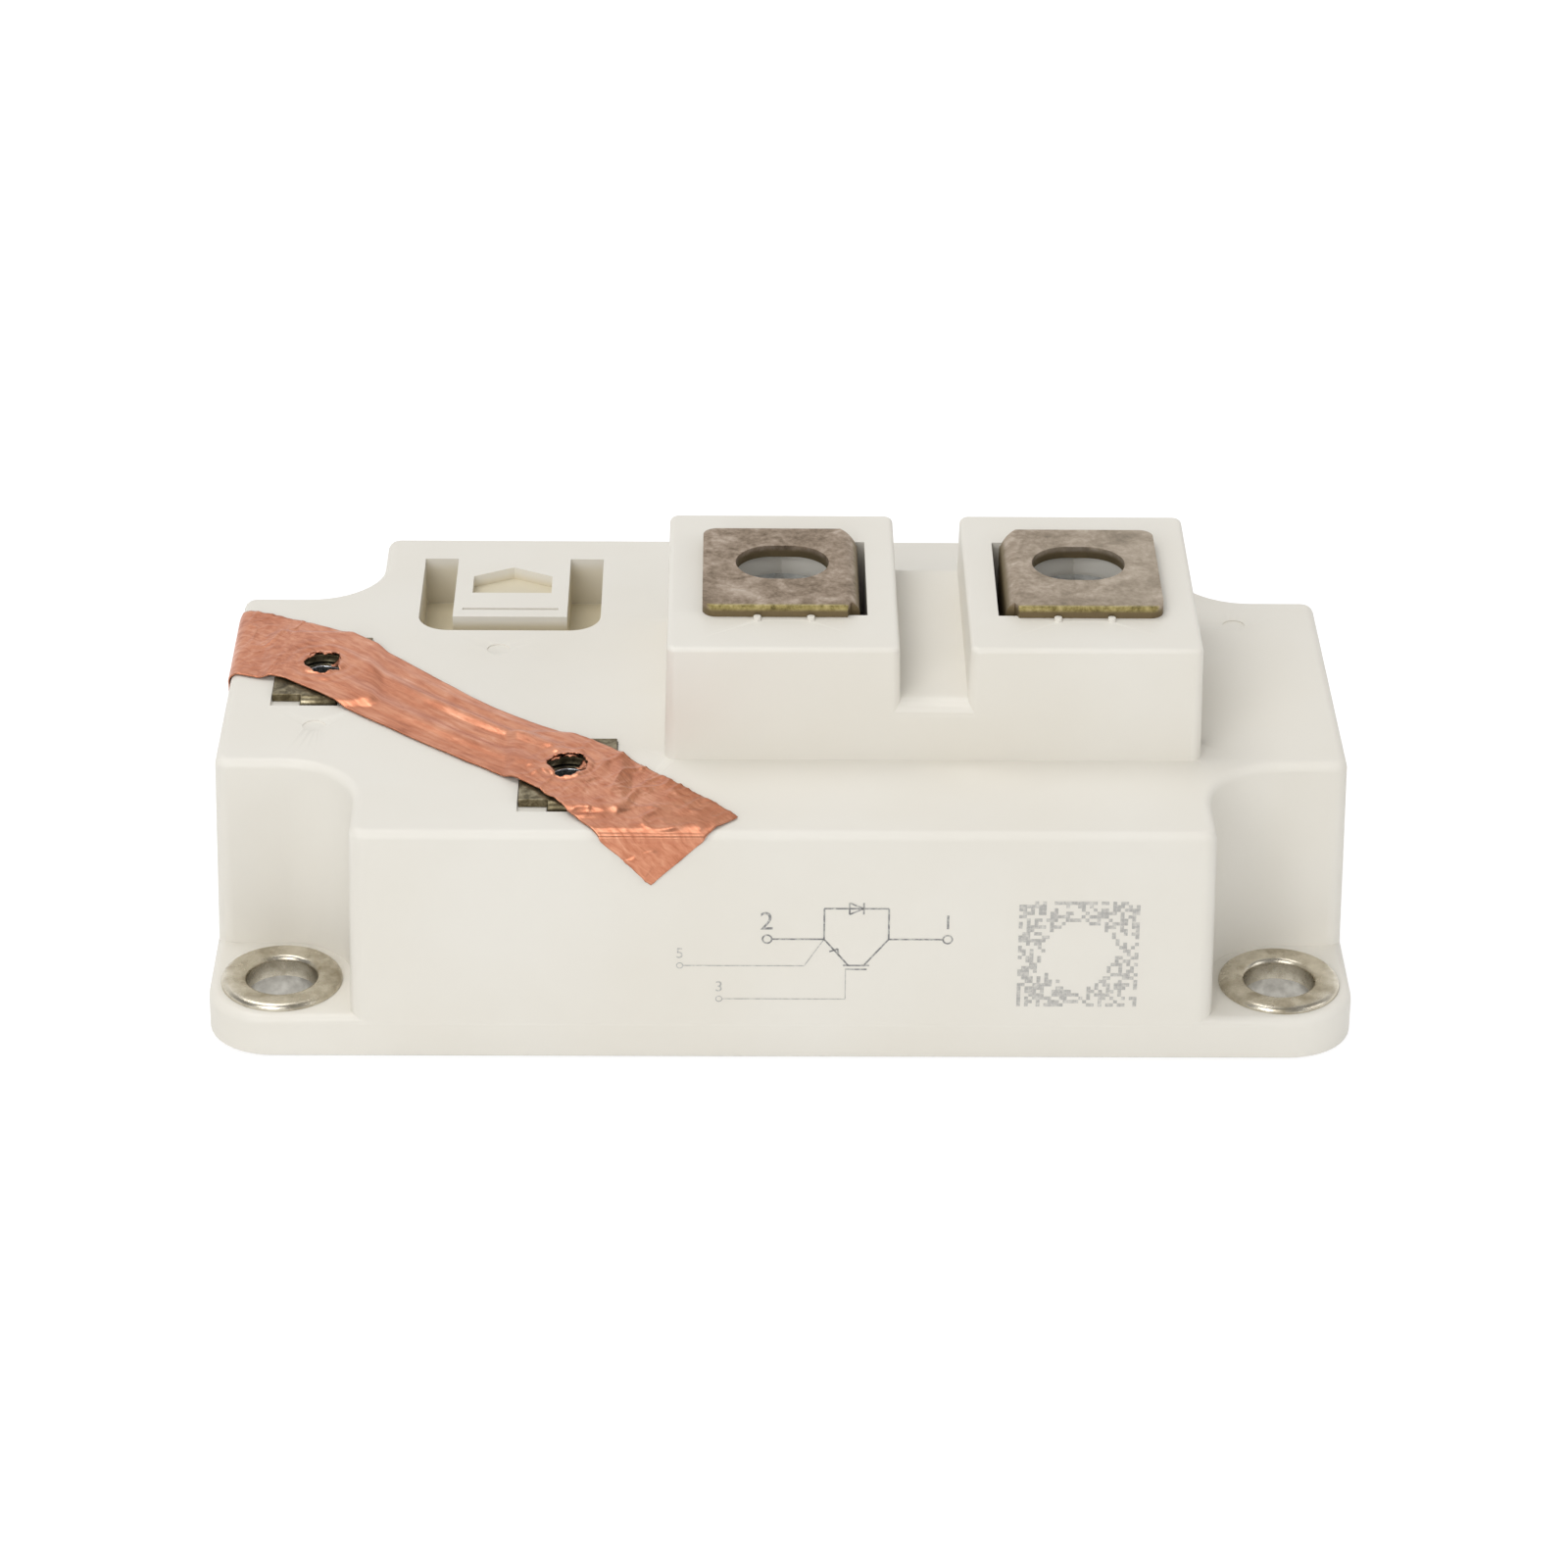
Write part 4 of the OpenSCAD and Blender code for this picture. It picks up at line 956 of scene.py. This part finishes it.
def drawCircuit(c, ink, faint):
    line, thin = printSettings["line"], printSettings["thin"]
    ring, smallRing = printSettings["ring"], printSettings["smallRing"]
    left, right, mainZ, topZ = c["leftX"], c["rightX"], c["mainZ"], c["diodeZ"]
    middle = (left + right) / 2
    barZ = c["gateZ"] + 0.35
    half, rise = c["diodeHalf"], c["diodeRise"]
    dark = bmesh.new()
    addRing(dark, c["emitterX"], mainZ, ring, line)
    addRing(dark, c["collectorX"], mainZ, ring, line)
    strokes = [
        ((c["emitterX"] + ring, mainZ), (left, mainZ)),
        ((right, mainZ), (c["collectorX"] - ring, mainZ)),
        ((left, mainZ), (left, topZ)),
        ((left, topZ), (right, topZ)),
        ((right, topZ), (right, mainZ)),
        ((left, mainZ), (middle - 0.7, barZ)),
        ((right, mainZ), (middle + 0.7, barZ)),
        # diode
        ((middle + half, topZ - rise), (middle + half, topZ + rise)),
        ((middle - half, topZ - rise), (middle - half, topZ + rise)),
        ((middle - half, topZ + rise), (middle + half, topZ)),
        ((middle - half, topZ - rise), (middle + half, topZ)),
        # transistor's bars and arrow
        ((middle - 1.2, barZ), (middle + 1.2, barZ)),
        ((middle - 1.0, c["gateZ"] - 0.05), (middle + 1.0, c["gateZ"] - 0.05)),
        ((left + 0.5, mainZ - 1.3), (left + 1.25, mainZ - 1.0)),
        ((left + 1.35, mainZ - 1.75), (left + 1.25, mainZ - 1.0)),
    ]
    for a, b in strokes:
        addStroke(dark, a, b, line)
    finishPrint(dark, "circuitLines", ink)
    pale = bmesh.new()
    addRing(pale, c["senseX"], c["senseZ"], smallRing, thin)
    addRing(pale, c["gateX"], c["gateCircleZ"], smallRing, thin)
    downX = middle - 0.95
    strokes = [
        ((c["senseX"] + smallRing, c["senseZ"]), (c["senseTurnX"], c["senseZ"])),
        ((c["senseTurnX"], c["senseZ"]), (left, mainZ)),
        ((c["gateX"] + smallRing, c["gateCircleZ"]), (downX, c["gateCircleZ"])),
        ((downX, c["gateCircleZ"]), (downX, c["gateZ"] - 0.1)),
    ]
    for a, b in strokes:
        addStroke(pale, a, b, thin)
    finishPrint(pale, "controlLines", faint)


digitSettings = [
    {"digit": "2", "x": -1.45, "z": 13.9, "height": 1.9, "ink": "dark"},
    {"digit": "1", "x": 15.1, "z": 14.0, "height": 1.5, "ink": "dark"},
    {"digit": "5", "x": -9.4, "z": 10.9, "height": 1.1, "ink": "faint"},
    {"digit": "3", "x": -5.8, "z": 7.4, "height": 1.1, "ink": "faint"},
]


def printDigit(settings, material):
    data = bpy.data.curves.new("digit" + settings["digit"], "FONT")
    data.body = settings["digit"]
    data.size = settings["height"] / 0.72      # a digit's share of its type size
    data.align_x = "CENTER"
    data.resolution_u = 6
    holder = bpy.data.objects.new("digitWork", data)
    scene.collection.objects.link(holder)
    bpy.context.view_layer.update()
    mesh = bakedMesh(holder)
    work = bmesh.new()
    work.from_mesh(mesh)
    for vertex in work.verts:
        vertex.co = facePoint(settings["x"] + vertex.co.x, settings["z"] + vertex.co.y)
    finishPrint(work, "digit" + settings["digit"], material)


matrixSettings = {
    "size": 10.7,
    "cells": 31,
    "share": 0.5,           # how many cells are dark
    "seed": 11,
    "x": 27.1,
    "z": 11.4,
    "blank": 3.4,           # radius of the worn middle
}
matrixSockets = {"Size": "Float", "Cells": "Int", "Share": "Float", "Seed": "Int", "Blank": "Float"}


# square of random dots with a worn middle
def matrixTree(material):
    tree = bpy.data.node_groups.new("dotMatrix", "GeometryNodeTree")
    face = tree.interface
    for name, kind in matrixSockets.items():
        face.new_socket(name, in_out="INPUT", socket_type="NodeSocket" + kind)
    face.new_socket("Geometry", in_out="OUTPUT", socket_type="NodeSocketGeometry")
    nodes, links = tree.nodes, tree.links
    given = nodes.new("NodeGroupInput")
    output = nodes.new("NodeGroupOutput")
    grid = nodes.new("GeometryNodeMeshGrid")
    links.new(given.outputs["Size"], grid.inputs["Size X"])
    links.new(given.outputs["Size"], grid.inputs["Size Y"])
    links.new(given.outputs["Cells"], grid.inputs["Vertices X"])
    links.new(given.outputs["Cells"], grid.inputs["Vertices Y"])
    pitch = nodes.new("ShaderNodeMath")
    pitch.operation = "DIVIDE"
    links.new(given.outputs["Size"], pitch.inputs[0])
    links.new(given.outputs["Cells"], pitch.inputs[1])
    dot = nodes.new("GeometryNodeMeshGrid")
    dot.inputs["Vertices X"].default_value = 2
    dot.inputs["Vertices Y"].default_value = 2
    links.new(pitch.outputs[0], dot.inputs["Size X"])
    links.new(pitch.outputs[0], dot.inputs["Size Y"])
    chance = nodes.new("FunctionNodeRandomValue")
    chance.data_type = "BOOLEAN"
    links.new(given.outputs["Share"], chance.inputs["Probability"])
    links.new(given.outputs["Seed"], chance.inputs["Seed"])
    place = nodes.new("GeometryNodeInputPosition")
    warp = nodes.new("ShaderNodeTexNoise")
    warp.inputs["Scale"].default_value = 0.35
    links.new(place.outputs[0], warp.inputs["Vector"])
    away = nodes.new("ShaderNodeVectorMath")
    away.operation = "LENGTH"
    links.new(place.outputs[0], away.inputs[0])
    uneven = nodes.new("ShaderNodeMath")
    uneven.operation = "MULTIPLY_ADD"
    links.new(warp.outputs["Fac"], uneven.inputs[0])
    uneven.inputs[1].default_value = 3.0
    links.new(away.outputs["Value"], uneven.inputs[2])
    compare = nodes.new("FunctionNodeCompare")
    compare.data_type = "FLOAT"
    compare.operation = "GREATER_THAN"
    reach = nodes.new("ShaderNodeMath")
    reach.operation = "ADD"
    links.new(given.outputs["Blank"], reach.inputs[0])
    reach.inputs[1].default_value = 1.5
    links.new(uneven.outputs[0], compare.inputs["A"])
    links.new(reach.outputs[0], compare.inputs["B"])
    both = nodes.new("FunctionNodeBooleanMath")
    both.operation = "AND"
    links.new(chance.outputs["Value"], both.inputs[0])
    links.new(compare.outputs["Result"], both.inputs[1])
    instances = nodes.new("GeometryNodeInstanceOnPoints")
    links.new(grid.outputs["Mesh"], instances.inputs["Points"])
    links.new(dot.outputs["Mesh"], instances.inputs["Instance"])
    links.new(both.outputs["Boolean"], instances.inputs["Selection"])
    realize = nodes.new("GeometryNodeRealizeInstances")
    links.new(instances.outputs["Instances"], realize.inputs["Geometry"])
    setMaterial = nodes.new("GeometryNodeSetMaterial")
    setMaterial.inputs["Material"].default_value = material
    links.new(realize.outputs["Geometry"], setMaterial.inputs["Geometry"])
    links.new(setMaterial.outputs["Geometry"], output.inputs["Geometry"])
    return tree


def printMatrix(settings, material):
    tree = matrixTree(material)
    holder = bpy.data.objects.new("matrixWork", bpy.data.meshes.new("matrixWork"))
    modifier = holder.modifiers.new("dots", "NODES")
    modifier.node_group = tree
    for item in tree.interface.items_tree:
        if item.in_out == "INPUT":
            modifier[item.identifier] = settings[item.name.lower()]
    scene.collection.objects.link(holder)
    bpy.context.view_layer.update()
    mesh = bakedMesh(holder)
    work = bmesh.new()
    work.from_mesh(mesh)
    for vertex in work.verts:
        vertex.co = facePoint(settings["x"] + vertex.co.x, settings["z"] + vertex.co.y)
    finishPrint(work, "dotMatrix", material)


darkInk = makeInk("greyInk", printSettings["ink"])
faintInk = makeInk("faintInk", printSettings["faint"])
drawCircuit(circuitSettings, darkInk, faintInk)
for digit in digitSettings:
    printDigit(digit, darkInk if digit["ink"] == "dark" else faintInk)
printMatrix(matrixSettings, faintInk)
print("printing ready")


def makeMottled(name, dark, pale, metal, roughness, grain, depth, sockets=()):
    material, tree, shader = newMaterial(name, pale, metal, roughness, sockets)
    place = objectPlace(tree)
    cloud = addNoise(tree, place, grain, 5, 0.6)
    tree.links.new(addRamp(tree, cloud, [(0.35, dark), (0.65, pale)]), shader.inputs["Base Color"])
    tree.links.new(addRange(tree, cloud, 0.3, 0.7, roughness + 0.08, roughness - 0.06, "LINEAR"),
                   shader.inputs["Roughness"])
    addBump(tree, shader, cloud, depth, 0.5)
    return material


innerFinishes = {
    "baseplate": makeMottled("satinPlating", (0.40, 0.38, 0.34), (0.58, 0.56, 0.51),
                             1.0, 0.36, 1.5, 0.02),
    "copper": makeMottled("bareCopper", (0.55, 0.24, 0.14), (0.80, 0.43, 0.30),
                          1.0, 0.34, 2.0, 0.02),
    "ceramic": makeMottled("whiteCeramic", (0.74, 0.74, 0.71), (0.86, 0.86, 0.84),
                           0.0, 0.55, 0.6, 0.01),
    "chips": makeMottled("chipSilicon", (0.05, 0.055, 0.075), (0.13, 0.14, 0.18),
                         0.55, 0.22, 1.0, 0.005),
    "wires": makeMottled("wireAluminium", (0.62, 0.62, 0.64), (0.82, 0.82, 0.84),
                         1.0, 0.3, 0.4, 0.01),
    "resistors": makeMottled("resistorGlaze", (0.012, 0.012, 0.014), (0.035, 0.035, 0.04),
                             0.0, 0.3, 0.5, 0.01),
    "gel": makeMottled("clearGel", (0.74, 0.80, 0.82), (0.84, 0.88, 0.89),
                       0.0, 0.12, 6.0, 0.02, {"Transmission Weight": 0.85, "IOR": 1.41}),
}
innerFinishes["track"] = innerFinishes["link"] = innerFinishes["copper"]
for node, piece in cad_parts.items():
    for word, finish in innerFinishes.items():
        if word in node:
            if not piece.material_slots:
                piece.data.materials.append(finish)
            for materialSlot in piece.material_slots:
                materialSlot.material = finish
            break
print("inner pieces ready")
